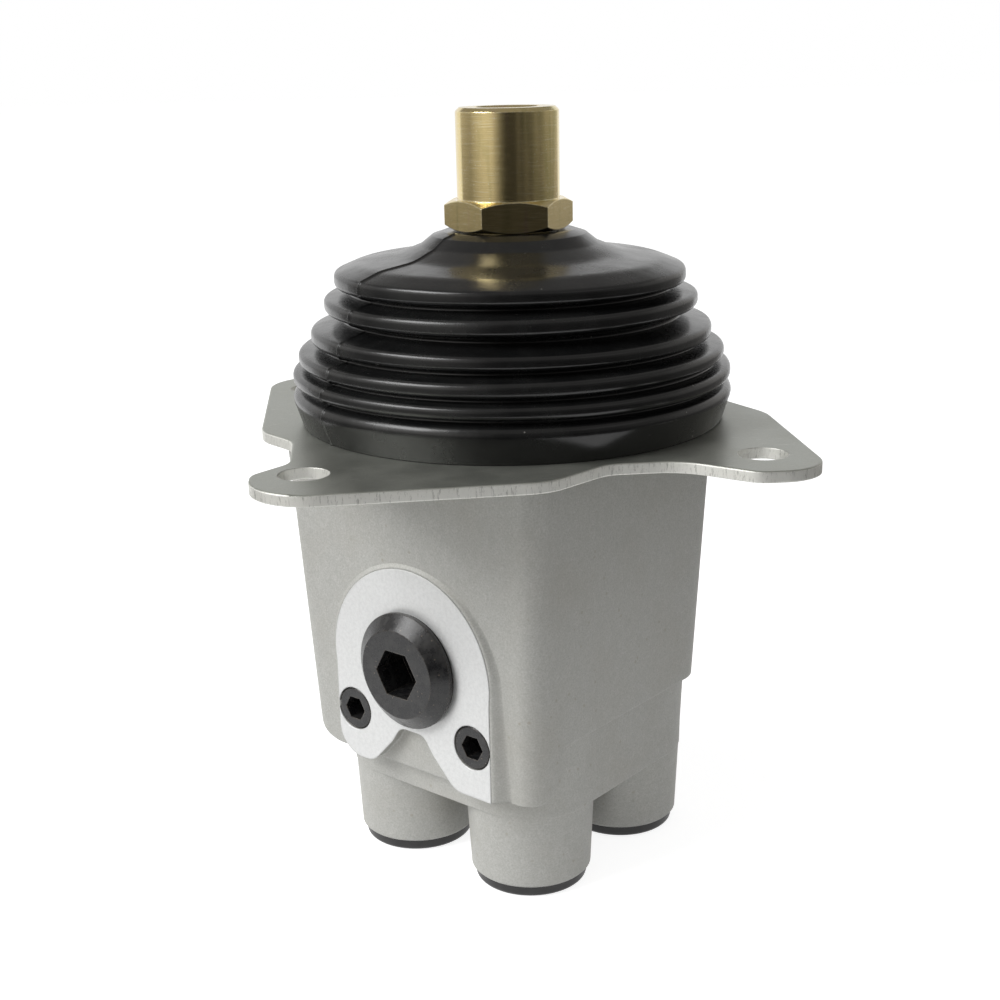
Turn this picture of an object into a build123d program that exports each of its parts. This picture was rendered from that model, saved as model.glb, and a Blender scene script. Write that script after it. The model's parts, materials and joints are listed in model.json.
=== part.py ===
"""Hydraulic pilot joystick valve: cast body, four spool cartridges, universal joint, boot and handle adapter.

Frame: origin at the centre of the four mounting holes on the plate's underside, +Z up through the plate,
-Y to the operator's front. The lever axis is parallel to Z at y = LEVER_Y. Each sub-part is made about the
lever axis, and export_nodes moves it to LEVER_Y. Everything is in millimetres.
"""

from build123d import *
from math import sqrt
import os

# ---- driving dimensions -------------------------------------------------------------------------------
LEVER_Y = 5.0             # lever axis, from the centre of the mounting holes
PIVOT_Z = 12.0            # crossing point of the two tilt axes
PORT_CIRCLE_R = 24.0      # pushers, spools and legs stand on this radius
LEG_BOTTOM_Z = -94.9
PLATE_T = 2.3
FIT = 0.05                # radial clearance of a running fit
GAP = 0.3                 # clearance between parts that move past each other
PUSHER_GAP = 0.5          # lost motion between each pusher and the swash plate
LEGS = {"front": (0, -1), "right": (1, 0), "back": (0, 1), "left": (-1, 0)}

# mounting plate: (x, y, corner radius) round its outline
PLATE_OUTLINE = [(-55, 49, 12), (-55, -8, 12), (-48, -18, 8), (-48, -36, 6), (-55.4, -44, 5), (-55.4, -60.6, 12.5),
                 (1, -58.4, 12), (13.5, -47.5, 8), (28, -47.5, 14), (41, -58.2, 6), (55.4, -58.2, 9),
                 (55, -10, 14), (48, 6, 8), (48, 20, 6), (55, 27, 5), (55, 49, 12)]
PLATE_EDGE_R = 0.35       # rolled upper edge of the blanking
HOLE_X, HOLE_Y = 45.0, 40.0
MOUNT_HOLE_R = 5.0
PLATE_CENTRE_R = 11.0
PLATE_SCREW_R = 28.5      # screws stand on the casting's right and left flats
SCREW_R, SCREW_HEAD_R, SCREW_L, SCREW_HEX_AF = 2.5, 4.8, 10.0, 3.0

# casting: the block is square to axes turned 45 degrees from the frame's
BLOCK_TURN = -45.0
PAD_SIDE, RIGHT_SIDE, LEFT_SIDE, REAR_SIDE = 36.8, 34.7, 36.9, 33.6
DRAFT = 0.045             # inward taper of the cast faces, per mm of depth
FRONT_CORNER_R, REAR_CORNER_R = 5.0, 8.5
BLOCK_BOTTOM_Z = -61.0
CORE_HALF, CORE_BOTTOM_Z = 31.6, -78.0
LEG_TOP_R, LEG_BOTTOM_R, LEG_FOOT_EDGE = 15.0, 13.3, 0.4
ROOT = 8.0                # how far the lower forms reach up into the block
BOSS_BOTTOM_Z, BOSS_DEPTH, BOSS_LEFT_X = -72.0, 13.5, -34.2
BOSS_REAR_R, BOSS_LEFT_R = 8.5, 10.0

# machined pad on the boss, with its ports
PAD_Y = -36.4
PAD_PORT_Z = -47.0
PAD_R, PAD_HALF, PAD_DEPTH = 22.2, 22.0, 9.0
PAD_NOTCH = [(13.0, BOSS_BOTTOM_Z - 1), (6.0, -65.5), (3.4, -61.6)]   # right half, from its mouth to its crown
PAD_CORNER_R, NOTCH_FOOT_R, NOTCH_CROWN_R = 6.5, 5.0, 3.0
MAIN_PORT_R, MAIN_PORT_DEPTH = 9.3, 13.4
GALLERY_X, GALLERY_Z = 17.1, -60.6
GALLERY_MOUTH_R, GALLERY_MOUTH_DEPTH = 4.95, 9.0
REAR_PORTS = {"supply": GALLERY_Z, "return": -28.0}
REAR_FACE_Y = 30.6        # spot faces of the two rear ports
REAR_SPOT_R, REAR_PORT_R, REAR_PORT_DEPTH = 9.5, 5.8, 12.0

# cartridge bore in each leg
COUNTERBORE_R, COUNTERBORE_Z = 9.1, -3.0
BUSH_R, BUSH_BOTTOM_Z = 7.8, -16.0
SPRING_BORE_R, SPRING_SHELF_Z = 7.4, -46.0
SPOOL_R, SPOOL_BORE_END_Z = 3.5, -74.0
PORT_CHAMBER_R, PORT_CHAMBER_Z = 5.5, -80.0
LEG_PORT_R = 8.3
JOINT_BORE_R, JOINT_BORE_Z = 6.8, -16.0

# plugs and caps
SEAL_T, SEAL_OUT_R, SEAL_IN_R = 0.8, 12.5, 9.4
PLUG_HEAD_R, PLUG_FACE_R, PLUG_TOP = 12.9, 9.8, 4.2
PLUG_SHANK_R, PLUG_SHANK_L, PLUG_HEX_AF, PLUG_HEX_BOTTOM = 9.2, 10.5, 10.0, -4.0
GALLERY_PLUG_R, GALLERY_PLUG_L, GALLERY_HEX_AF, GALLERY_HEX_BOTTOM = 4.9, 8.5, 5.0, -5.0
REAR_CAP_R, REAR_CAP_TOP, REAR_CAP_L, REAR_CAP_WALL = 8.0, 2.4, 8.0, 1.2
LEG_CAP_R, LEG_CAP_T, LEG_CAP_EDGE, LEG_CAP_L, LEG_CAP_WALL = 12.4, 2.7, 1.0, 8.0, 1.4

# bushing and its seals
COLLAR_R, COLLAR_TOP_Z = 6.5, 4.2
SEAL_POCKET_R, SEAL_POCKET_Z = 5.6, 1.4
RING_GROOVE_R, RING_GROOVE_TOP_Z, RING_GROOVE_BOTTOM_Z, RING_WIRE_R = 6.4, -8.0, -10.4, 0.7

# pusher, spring seat, springs and spool
PUSHER_R, PUSHER_DOME_R, PUSHER_TIP_Z = 4.0, 4.2, 14.0
PUSHER_BORE_R, PUSHER_BORE_TOP_Z, SPIGOT_R = 2.5, -16.0, 3.4
SEAT_R, SEAT_TOP_Z, SEAT_T = 7.0, -23.5, 2.0
COIL_RETURN = {"mean_r": 5.9, "wire_r": 0.65, "turns": 7}
COIL_BALANCE = {"mean_r": 4.0, "wire_r": 0.4, "turns": 4}
SPOOL_HEAD_R, SPOOL_HEAD_TOP_Z, SPOOL_HEAD_T, SPOOL_STEM_R = 2.3, -22.0, 2.0, 1.5
SPOOL_COLLAR_R, SPOOL_COLLAR_Z, SPOOL_COLLAR_T = 4.8, -34.8, 1.5
SPOOL_BOTTOM_Z, SPOOL_NECK_R = -76.0, 2.5
SPOOL_GROOVES = [(-57.5, -51.0), (-68.0, -62.5)]
SPOOL_DRILL_R, SPOOL_DRILL_TOP_Z = 1.3, -60.0

# universal joint and swash plate
PIN_R = 2.0
BLOCK_HALF, BLOCK_H = 5.7, 9.0
FORK_IN, FORK_OUT, FORK_EYE_R = 6.0, 9.4, 4.5
FORK_ROOT = 7.7           # distance from the pivot to each fork's root
SHOULDER_R = 10.8
STEM_R, STEM_TOP_Z = 6.0, 50.0
SWASH_R, SWASH_T = 28.5, 4.5
CUP_IN_R, CUP_OUT_R, CUP_TOP_Z, CUP_ROOF = 13.2, 16.5, 27.0, 4.0
NUT_TOP_Z, NUT_AF = 31.5, 18.0

# handle adapter
HEX_AF, HEX_BOTTOM_Z, HEX_TOP_Z, HEX_BEVEL = 24.0, 43.0, 49.3, 1.2
ADAPTER_R, ADAPTER_TOP_Z, ADAPTER_EDGE = 11.0, 68.3, 0.8
SLEEVE_R = 9.0
SOCKET_R, SOCKET_DEPTH = 6.25, 16.0

# boot: (crest radius, height) of each ring, from the top down
BOOT_RINGS = [(37.9, 32.9), (40.4, 27.9), (43.5, 21.2), (46.3, 16.6), (47.7, 12.3), (48.4, 8.3)]
BOOT_DOME = [(16.8, 42.6), (17.0, 41.2), (20.0, 39.2), (24.6, 37.6), (33.0, 36.6)]   # collar, then the dome
BOOT_WALL, BOOT_FOLD, BOOT_LIP, BOOT_LIP_R, BOOT_VALLEY_R = 1.7, 4.2, 1.5, 1.35, 0.2
SKIRT_R, SKIRT_TOP_Z, SKIRT_WALL = 46.0, 5.6, 5.0
BOOT_NECK_Z = 38.4


# ---- helpers ------------------------------------------------------------------------------------------
def disc(radius, bottom, top):
    """Cylinder about Z between two heights."""
    return Pos(0, 0, bottom) * Cylinder(radius, top - bottom, align=(Align.CENTER, Align.CENTER, Align.MIN))


def ring(outer, inner, bottom, top):
    """Tube about Z between two heights."""
    return disc(outer, bottom, top) - disc(inner, bottom - 1, top + 1)


def turned(profile):
    """Solid of revolution about Z from (radius, height) points."""
    face = make_face(Plane.XZ * Polyline(*profile, close=True))
    return revolve(face, axis=Axis.Z)


def hex_prism(across_flats, bottom, top):
    """Hexagon about Z with two flats square to Y."""
    face = RegularPolygon(across_flats / 2, 6, major_radius=False)
    return extrude(Pos(0, 0, bottom) * face, top - bottom)


def hex_bevel(across_flats, bottom, top, low_bevel, high_bevel):
    """Turned envelope that bevels the corners of a hexagon at either end."""
    flat, corner = across_flats / 2, across_flats / sqrt(3) + 0.1
    rise = (corner - flat) / sqrt(3)
    profile = [(0, bottom), (flat, bottom), (corner, bottom + rise)] if low_bevel else [(0, bottom), (corner, bottom)]
    profile += [(corner, top - rise), (flat, top), (0, top)] if high_bevel else [(corner, top), (0, top)]
    return turned(profile)


def drilling(radius, depth, start=0.0):
    """Hole along -Y from a face at the sketch origin, begun a little outside it."""
    return Rot(90, 0, 0) * disc(radius, -depth, start)


def to_pad(part):
    """Place a part made along +Z on the pad: its +Z points out of the casting's pad face."""
    return Rot(0, 0, BLOCK_TURN) * Pos(0, PAD_Y, 0) * Rot(90, 0, 0) * part


def at_leg(part, leg):
    """Move a part made about Z to a leg's axis."""
    x, y = LEGS[leg]
    return Pos(x * PORT_CIRCLE_R, y * PORT_CIRCLE_R, 0) * part


def coil(mean_r, wire_r, turns, bottom, top):
    """Open coil spring between two heights, wire ends included."""
    height = top - bottom - 2 * wire_r
    path = Helix(pitch=height / turns, height=height, radius=mean_r)
    section = Plane(origin=path @ 0, z_dir=path % 0) * Circle(wire_r)
    return Pos(0, 0, bottom + wire_r) * sweep(section, path=path)


# ---- casting ------------------------------------------------------------------------------------------
def block_section(z):
    """Rounded outline of the tapered block at a height, in the casting's turned axes."""
    inset = -DRAFT * z
    left, right = -LEFT_SIDE + inset, RIGHT_SIDE - inset
    front, rear = -PAD_SIDE + inset, REAR_SIDE - inset
    outline = Pos((left + right) / 2, (front + rear) / 2, z) * Rectangle(right - left, rear - front)
    corners = outline.vertices().sort_by(Axis.Y)
    outline = fillet(corners[:2], FRONT_CORNER_R)
    return fillet(outline.vertices().sort_by(Axis.Y)[-2:], REAR_CORNER_R)


def core_section(z):
    """Outline of the body between the legs: its corners follow the leg cones."""
    half = CORE_HALF + DRAFT * (z - BLOCK_BOTTOM_Z) / 2
    return Pos(0, 0, z) * RectangleRounded(2 * half, 2 * half, half - PORT_CIRCLE_R / sqrt(2))


def pad_outline():
    """Pad sketch seen from outside: X across the face, Y is height. An arched notch opens at its foot."""
    head = Pos(0, PAD_PORT_Z) * Circle(PAD_R)
    skirt = Pos(0, (PAD_PORT_Z + BOSS_BOTTOM_Z) / 2) * Rectangle(2 * PAD_HALF, PAD_PORT_Z - BOSS_BOTTOM_Z)
    mirrored = [(-x, z) for x, z in reversed(PAD_NOTCH)]
    shape = head + skirt - make_face(Polyline(*PAD_NOTCH, *mirrored, close=True))
    shape = fillet([shape.vertices().group_by(Axis.Y)[0].sort_by(Axis.X)[0]], PAD_CORNER_R)
    feet = shape.vertices().filter_by(lambda v: abs(v.Y - BOSS_BOTTOM_Z) < 0.01 and 8 < abs(v.X) < 14)
    shape = fillet(feet, NOTCH_FOOT_R)
    crown = shape.vertices().filter_by(lambda v: abs(v.Y - PAD_NOTCH[-1][1]) < 0.01)
    return fillet(crown, NOTCH_CROWN_R)


def pad_boss():
    """Lower extension of the pad side: it overhangs the legs and rolls up into the block behind."""
    bulk = loft([block_section(BLOCK_BOTTOM_Z + ROOT), block_section(BOSS_BOTTOM_Z)])
    top, reach = BLOCK_BOTTOM_Z + ROOT + 3, 60
    rear = -PAD_SIDE + BOSS_DEPTH
    side = make_face(Plane.YZ * Polyline((-reach, top), (-reach, BOSS_BOTTOM_Z), (rear, BOSS_BOTTOM_Z),
                                         (rear, top), close=True))
    side = fillet([side.vertices().sort_by(Axis.Y)[-2:].sort_by(Axis.Z)[0]], BOSS_REAR_R)
    face = make_face(Plane.XZ * Polyline((BOSS_LEFT_X, top), (BOSS_LEFT_X, BOSS_BOTTOM_Z), (reach, BOSS_BOTTOM_Z),
                                         (reach, top), close=True))
    face = fillet([face.vertices().sort_by(Axis.X)[:2].sort_by(Axis.Z)[0]], BOSS_LEFT_R)
    return bulk & extrude(side, reach, both=True) & extrude(face, reach, both=True)


def cartridge_bore():
    """Stepped bore of one leg, about Z."""
    return (disc(COUNTERBORE_R, COUNTERBORE_Z, 1) + disc(BUSH_R + FIT, BUSH_BOTTOM_Z, 0)
            + disc(SPRING_BORE_R, SPRING_SHELF_Z, 0) + disc(SPOOL_R + FIT, PORT_CHAMBER_Z, SPRING_SHELF_Z)
            + disc(PORT_CHAMBER_R, PORT_CHAMBER_Z, SPOOL_BORE_END_Z)
            + disc(LEG_PORT_R, LEG_BOTTOM_Z - 1, PORT_CHAMBER_Z))


def leg_cone():
    """Drafted leg with a broken foot edge, about Z."""
    top = BLOCK_BOTTOM_Z + ROOT
    cone = turned([(0, top), (LEG_TOP_R + 0.3, top), (LEG_BOTTOM_R, LEG_BOTTOM_Z), (0, LEG_BOTTOM_Z)])
    return chamfer(cone.edges().filter_by(GeomType.CIRCLE).sort_by(Axis.Z)[0], LEG_FOOT_EDGE)


def port_mouths():
    """Threaded mouths on the pad and the two spot-faced ports behind, in the casting's turned axes."""
    mouths = Pos(0, PAD_Y, PAD_PORT_Z) * drilling(MAIN_PORT_R, MAIN_PORT_DEPTH, 1)
    for x in (-GALLERY_X, GALLERY_X):
        mouths += Pos(x, PAD_Y, GALLERY_Z) * drilling(GALLERY_MOUTH_R, GALLERY_MOUTH_DEPTH, 1)
    for z in REAR_PORTS.values():
        at_rear = Pos(0, REAR_FACE_Y, z) * Rot(0, 0, 180)
        mouths += at_rear * drilling(REAR_SPOT_R, 0, REAR_SIDE - REAR_FACE_Y + 1)
        mouths += at_rear * drilling(REAR_PORT_R, REAR_PORT_DEPTH, 1)
    return mouths


def casting_body():
    """Tapered block, boss with machined pad, core and four legs, with its bores and port mouths cut."""
    body = loft([block_section(0), block_section(BLOCK_BOTTOM_Z)])
    body += loft([core_section(BLOCK_BOTTOM_Z + ROOT), core_section(CORE_BOTTOM_Z)])
    body += pad_boss()
    pad = extrude(Plane.XZ * pad_outline(), PAD_DEPTH)
    body += Pos(0, PAD_Y + PAD_DEPTH, 0) * pad
    body = Rot(0, 0, BLOCK_TURN) * body
    for leg in LEGS:
        body += at_leg(leg_cone(), leg)
    for leg in LEGS:
        body -= at_leg(cartridge_bore(), leg)
    body -= disc(JOINT_BORE_R, JOINT_BORE_Z, 1)
    body -= Rot(0, 0, BLOCK_TURN) * port_mouths()
    for place in screw_places():
        body -= place * disc(SCREW_R + FIT, -SCREW_L - 2, 1)
    return body


# ---- plate and fixings --------------------------------------------------------------------------------
def screw_places():
    """The two plate screws, on the right and left flats of the block."""
    return [Rot(0, 0, BLOCK_TURN) * Pos(side * PLATE_SCREW_R, 0, 0) for side in (-1, 1)]


def mounting_plate():
    """Blanked steel plate: every corner of the outline has its own radius, and the upper edge is rolled."""
    points = [(x, y) for x, y, _ in PLATE_OUTLINE]
    outline = make_face(Polyline(*points, close=True))
    for x, y, radius in PLATE_OUTLINE:
        outline = fillet([outline.vertices().sort_by_distance((x, y, 0))[0]], radius)
    plate = extrude(outline, PLATE_T)
    plate = fillet(plate.faces().sort_by(Axis.Z)[-1].edges(), PLATE_EDGE_R)
    for x in (-HOLE_X, HOLE_X):
        for y in (-HOLE_Y, HOLE_Y):
            plate -= Pos(x, y - LEVER_Y, 0) * disc(MOUNT_HOLE_R, -1, PLATE_T + 1)
    plate -= disc(PLATE_CENTRE_R, -1, PLATE_T + 1)
    for leg in LEGS:
        plate -= at_leg(disc(COLLAR_R + GAP, -1, PLATE_T + 1), leg)
    for place in screw_places():
        plate -= place * countersunk_head(FIT)
    return plate


def countersunk_head(grow=0.0):
    """Screw head flush with the plate's top, about Z."""
    low, high = SCREW_R + grow, SCREW_HEAD_R + grow
    return turned([(0, 0), (low, 0), (high, PLATE_T), (0, PLATE_T)])


def plate_screws():
    """Countersunk hexagon-socket screws."""
    screw = countersunk_head() + disc(SCREW_R, -SCREW_L, 0) - hex_prism(SCREW_HEX_AF, 0.3, PLATE_T + 1)
    first, second = screw_places()
    return first * screw + second * screw


def front_port_plug():
    """Hexagon-socket plug with a wide chamfered head and a threaded shank."""
    rim = 2 * SEAL_T
    head = turned([(0, SEAL_T), (PLUG_HEAD_R, SEAL_T), (PLUG_HEAD_R, rim), (PLUG_FACE_R, PLUG_TOP), (0, PLUG_TOP)])
    shank = turned([(0, SEAL_T), (PLUG_SHANK_R, SEAL_T), (PLUG_SHANK_R, 1 - PLUG_SHANK_L),
                    (PLUG_SHANK_R - 1, -PLUG_SHANK_L), (0, -PLUG_SHANK_L)])
    socket = hex_prism(PLUG_HEX_AF, PLUG_HEX_BOTTOM, PLUG_TOP + 1)
    return to_pad(Pos(0, PAD_PORT_Z, 0) * (head + shank - socket))


def port_plug_seal():
    """Bonded washer under the plug's head."""
    return to_pad(Pos(0, PAD_PORT_Z, 0) * ring(SEAL_OUT_R, SEAL_IN_R, 0, SEAL_T))


def gallery_plug(x):
    """Taper-thread plug set flush in the pad."""
    body = turned([(0, -0.1), (GALLERY_PLUG_R - 0.4, -0.1), (GALLERY_PLUG_R, -0.5),
                   (GALLERY_PLUG_R - 0.3, -GALLERY_PLUG_L), (0, -GALLERY_PLUG_L)])
    body -= hex_prism(GALLERY_HEX_AF, GALLERY_HEX_BOTTOM, 1)
    return to_pad(Pos(x, GALLERY_Z, 0) * body)


def rear_port_cap(z):
    """Plastic plug with a finger flange in a rear port."""
    plug, bore = REAR_PORT_R - 0.1, REAR_PORT_R - 0.1 - REAR_CAP_WALL
    cap = turned([(0, REAR_CAP_TOP), (REAR_CAP_R - 0.8, REAR_CAP_TOP), (REAR_CAP_R, REAR_CAP_TOP - 0.8),
                  (REAR_CAP_R, 0), (plug, 0), (plug - 0.2, -REAR_CAP_L), (bore, -REAR_CAP_L),
                  (bore, REAR_CAP_TOP - REAR_CAP_WALL), (0, REAR_CAP_TOP - REAR_CAP_WALL)])
    return Rot(0, 0, BLOCK_TURN) * Pos(0, REAR_FACE_Y, z) * Rot(-90, 0, 0) * cap


def leg_port_cap():
    """Cap under a leg: a shallow flange with a rounded rim and a hollow plug."""
    low, high = LEG_BOTTOM_Z - LEG_CAP_T, LEG_BOTTOM_Z + LEG_CAP_L
    plug, bore = LEG_PORT_R - 0.1, LEG_PORT_R - 0.1 - LEG_CAP_WALL
    cap = turned([(0, low), (LEG_CAP_R, low), (LEG_CAP_R, LEG_BOTTOM_Z), (plug, LEG_BOTTOM_Z), (plug - 0.2, high),
                  (bore, high), (bore, low + LEG_CAP_WALL), (0, low + LEG_CAP_WALL)])
    return fillet(cap.edges().filter_by(GeomType.CIRCLE).group_by(Axis.Z)[0], LEG_CAP_EDGE)


# ---- cartridge ----------------------------------------------------------------------------------------
def bushing():
    """Flanged guide held down by the plate, with a seal recess on top and a groove for its ring."""
    body = disc(BUSH_R, BUSH_BOTTOM_Z, 0) + disc(COUNTERBORE_R - FIT, COUNTERBORE_Z, 0)
    body += disc(COLLAR_R, 0, COLLAR_TOP_Z)
    body -= disc(PUSHER_R + FIT, BUSH_BOTTOM_Z - 1, COLLAR_TOP_Z + 1)
    body -= disc(SEAL_POCKET_R, SEAL_POCKET_Z, COLLAR_TOP_Z + 1)
    return body - ring(BUSH_R + 1, RING_GROOVE_R, RING_GROOVE_BOTTOM_Z, RING_GROOVE_TOP_Z)


def bushing_ring():
    """O-ring in the bushing's groove."""
    middle = (RING_GROOVE_TOP_Z + RING_GROOVE_BOTTOM_Z) / 2
    return Pos(0, 0, middle) * Torus(RING_GROOVE_R + RING_WIRE_R + 0.02, RING_WIRE_R)


def pusher_seal():
    """Lip seal around the pusher: a flat heel, an outer wall and a lip that leans on the rod."""
    heel, lip = SEAL_POCKET_Z + 0.2, PUSHER_R + 0.06
    wall = SEAL_POCKET_R - 0.1
    return turned([(lip, heel), (wall, heel), (wall, COLLAR_TOP_Z - 0.2), (wall - 0.6, COLLAR_TOP_Z - 0.2),
                   (lip + 0.34, heel + 1.2), (lip, heel + 2.0)])


def pusher():
    """Domed push rod, bored from below for the spool's head, with a spigot for the spring seat."""
    rod = disc(PUSHER_R, SEAT_TOP_Z, PUSHER_TIP_Z)
    dome = Pos(0, 0, PUSHER_TIP_Z - PUSHER_DOME_R) * Sphere(PUSHER_DOME_R)
    rod &= dome + disc(PUSHER_R + 1, SEAT_TOP_Z - 1, PUSHER_TIP_Z - PUSHER_DOME_R)
    rod += disc(SPIGOT_R, SEAT_TOP_Z - SEAT_T, SEAT_TOP_Z)
    return rod - disc(PUSHER_BORE_R, SEAT_TOP_Z - SEAT_T - 1, PUSHER_BORE_TOP_Z)


def spring_seat():
    """Flange on the pusher's spigot: the return spring stands on its rim, the balance spring on its hub."""
    return ring(SEAT_R, SPIGOT_R, SEAT_TOP_Z - SEAT_T, SEAT_TOP_Z)


def spool():
    """Metering spool: head in the pusher's bore, collar in the spring chamber, lands and grooves in the bore."""
    collar_low = SPOOL_COLLAR_Z - SPOOL_COLLAR_T
    body = disc(SPOOL_HEAD_R, SPOOL_HEAD_TOP_Z - SPOOL_HEAD_T, SPOOL_HEAD_TOP_Z)
    body += disc(SPOOL_STEM_R, SPOOL_COLLAR_Z, SPOOL_HEAD_TOP_Z - SPOOL_HEAD_T)
    body += disc(SPOOL_COLLAR_R, collar_low, SPOOL_COLLAR_Z)
    body += disc(SPOOL_R, SPOOL_BOTTOM_Z, collar_low)
    for bottom, top in SPOOL_GROOVES:
        body -= ring(SPOOL_R + 1, SPOOL_NECK_R, bottom, top)
    body -= disc(SPOOL_DRILL_R, SPOOL_BOTTOM_Z - 1, SPOOL_DRILL_TOP_Z)
    foot = body.edges().filter_by(GeomType.CIRCLE).group_by(Axis.Z)[0].sort_by(SortBy.RADIUS)[-1]
    return chamfer(foot, 0.3)


# ---- universal joint and lever ------------------------------------------------------------------------
def fork(root):
    """Two eye arms along X: they stand from height root to the pivot, above it or below it."""
    low, high = sorted((root, PIVOT_Z))
    arms = Pos(0, 0, (low + high) / 2) * Box(2 * FORK_OUT, 2 * FORK_EYE_R, high - low)
    arms += pivot_axis(FORK_EYE_R, FORK_OUT)
    arms -= Pos(0, 0, PIVOT_Z) * Box(2 * FORK_IN, 4 * FORK_EYE_R, 2 * abs(root - PIVOT_Z))
    return arms - pivot_axis(PIN_R + FIT, FORK_OUT + 1)


def pivot_axis(radius, half):
    """Cylinder along X through the pivot."""
    return Pos(0, 0, PIVOT_Z) * Rot(0, 90, 0) * disc(radius, -half, half)


def joint_base():
    """Lower yoke: a flange on the casting, a plain stud below it and the fork for the fore-and-aft axis."""
    flange_top = PIVOT_Z - FORK_ROOT
    base = disc(PLATE_CENTRE_R - 0.4, 0, flange_top) + disc(JOINT_BORE_R - FIT, JOINT_BORE_Z + 2, 0)
    return base + fork(flange_top)


def pivot_pins():
    """Pair of pins along X, one in each arm."""
    pin = Rot(0, 90, 0) * disc(PIN_R, BLOCK_HALF - 2.4, FORK_OUT - 0.2)
    return Pos(0, 0, PIVOT_Z) * (pin + Rot(0, 0, 180) * pin)


def cross_block():
    """Block between the forks with a blind hole on each of its four sides."""
    block = chamfer(Box(2 * BLOCK_HALF, 2 * BLOCK_HALF, BLOCK_H).edges(), 0.6)
    hole = Rot(0, 90, 0) * disc(PIN_R + FIT, BLOCK_HALF - 2.6, BLOCK_HALF + 1)
    for turn in (0, 90, 180, 270):
        block -= Rot(0, 0, turn) * hole
    return Pos(0, 0, PIVOT_Z) * block


def upper_yoke():
    """Fork for the side-to-side axis, its shoulder and the threaded stem."""
    crotch, shoulder = PIVOT_Z + FORK_ROOT, CUP_TOP_Z - CUP_ROOF
    yoke = Rot(0, 0, 90) * fork(crotch)
    yoke += disc(SHOULDER_R, crotch, shoulder)
    stem = disc(STEM_R, shoulder, STEM_TOP_Z)
    return yoke + chamfer(stem.edges().filter_by(GeomType.CIRCLE).sort_by(Axis.Z)[-1], 0.8)


def swash_plate():
    """Cupped disc that presses the pushers: a wide flange, a wall over the joint and a hub plate."""
    low, roof = PUSHER_TIP_Z + PUSHER_GAP, CUP_TOP_Z - CUP_ROOF
    top = low + SWASH_T
    return turned([(CUP_IN_R, low), (SWASH_R, low), (SWASH_R, top - 1.2), (SWASH_R - 1.2, top),
                   (CUP_OUT_R + 2, top), (CUP_OUT_R, top + 2), (CUP_OUT_R, CUP_TOP_Z - 1.5),
                   (CUP_OUT_R - 1.5, CUP_TOP_Z), (STEM_R + FIT, CUP_TOP_Z), (STEM_R + FIT, roof),
                   (CUP_IN_R, roof)])


def lock_nut():
    """Nut that clamps the swash plate to the yoke's shoulder."""
    nut = hex_prism(NUT_AF, CUP_TOP_Z, NUT_TOP_Z) & hex_bevel(NUT_AF, CUP_TOP_Z, NUT_TOP_Z, False, True)
    return nut - disc(STEM_R + FIT, CUP_TOP_Z - 1, NUT_TOP_Z + 1)


def handle_adapter():
    """Sleeve, bevelled hexagon and chamfered cylinder in one, with the handle's socket on top."""
    body = disc(SLEEVE_R, NUT_TOP_Z, HEX_BOTTOM_Z) + disc(ADAPTER_R, HEX_TOP_Z, ADAPTER_TOP_Z)
    body += hex_prism(HEX_AF, HEX_BOTTOM_Z, HEX_TOP_Z) & hex_bevel(HEX_AF, HEX_BOTTOM_Z, HEX_TOP_Z, True, True)
    body -= disc(STEM_R + FIT, NUT_TOP_Z - 1, STEM_TOP_Z + 0.5)
    body -= disc(SOCKET_R, ADAPTER_TOP_Z - SOCKET_DEPTH, ADAPTER_TOP_Z + 1)
    return chamfer(body.edges().filter_by(GeomType.CIRCLE).group_by(Axis.Z)[-1], ADAPTER_EDGE)


# ---- boot ---------------------------------------------------------------------------------------------
def boot():
    """Moulded boot: collar, shallow dome, six round-lipped rings and the skirt that stands on the plate."""
    outer, lips, valleys = list(BOOT_DOME), [], []
    for (crest, height), (below, next_height) in zip(BOOT_RINGS, BOOT_RINGS[1:] + [(None, None)]):
        lips += [(crest, height + BOOT_LIP), (crest, height - BOOT_LIP)]
        outer += lips[-2:]
        if below:
            valleys.append((min(crest, below) - BOOT_FOLD, (height + next_height) / 2))
            outer.append(valleys[-1])
    outer += [(SKIRT_R, SKIRT_TOP_Z), (SKIRT_R, PLATE_T)]
    inner = [(SKIRT_R - SKIRT_WALL, PLATE_T), (SKIRT_R - SKIRT_WALL, SKIRT_TOP_Z)]
    inner += [(crest - BOOT_FOLD - BOOT_WALL, height) for crest, height in reversed(BOOT_RINGS)]
    inner += [(BOOT_DOME[-1][0] - 3, BOOT_DOME[-1][1] - BOOT_WALL), (SLEEVE_R + 2 * BOOT_WALL, BOOT_NECK_Z),
              (SLEEVE_R + GAP, BOOT_NECK_Z), (SLEEVE_R + GAP, BOOT_DOME[0][1])]
    profile = make_face(Polyline(*outer, *inner, close=True))
    for points, radius in ((lips, BOOT_LIP_R), (valleys, BOOT_VALLEY_R)):
        for x, z in points:
            profile = fillet([profile.vertices().sort_by_distance((x, z, 0))[0]], radius)
    return revolve(Plane.XZ * profile, axis=Axis.Z)


# ---- build --------------------------------------------------------------------------------------------
def cartridge_nodes(leg):
    """The nine pieces in and under one leg."""
    seat_bottom = SEAT_TOP_Z - SEAT_T
    pieces = {
        "bushing": bushing(),
        "bushing_ring": bushing_ring(),
        "pusher_seal": pusher_seal(),
        "pusher": pusher(),
        "spring_seat": spring_seat(),
        "return_spring": coil(**COIL_RETURN, bottom=SPRING_SHELF_Z, top=seat_bottom),
        "balance_spring": coil(**COIL_BALANCE, bottom=SPOOL_COLLAR_Z, top=seat_bottom),
        "spool": spool(),
        "port_cap": leg_port_cap(),
    }
    return {f"{leg}_{name}": at_leg(piece, leg) for name, piece in pieces.items()}


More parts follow.
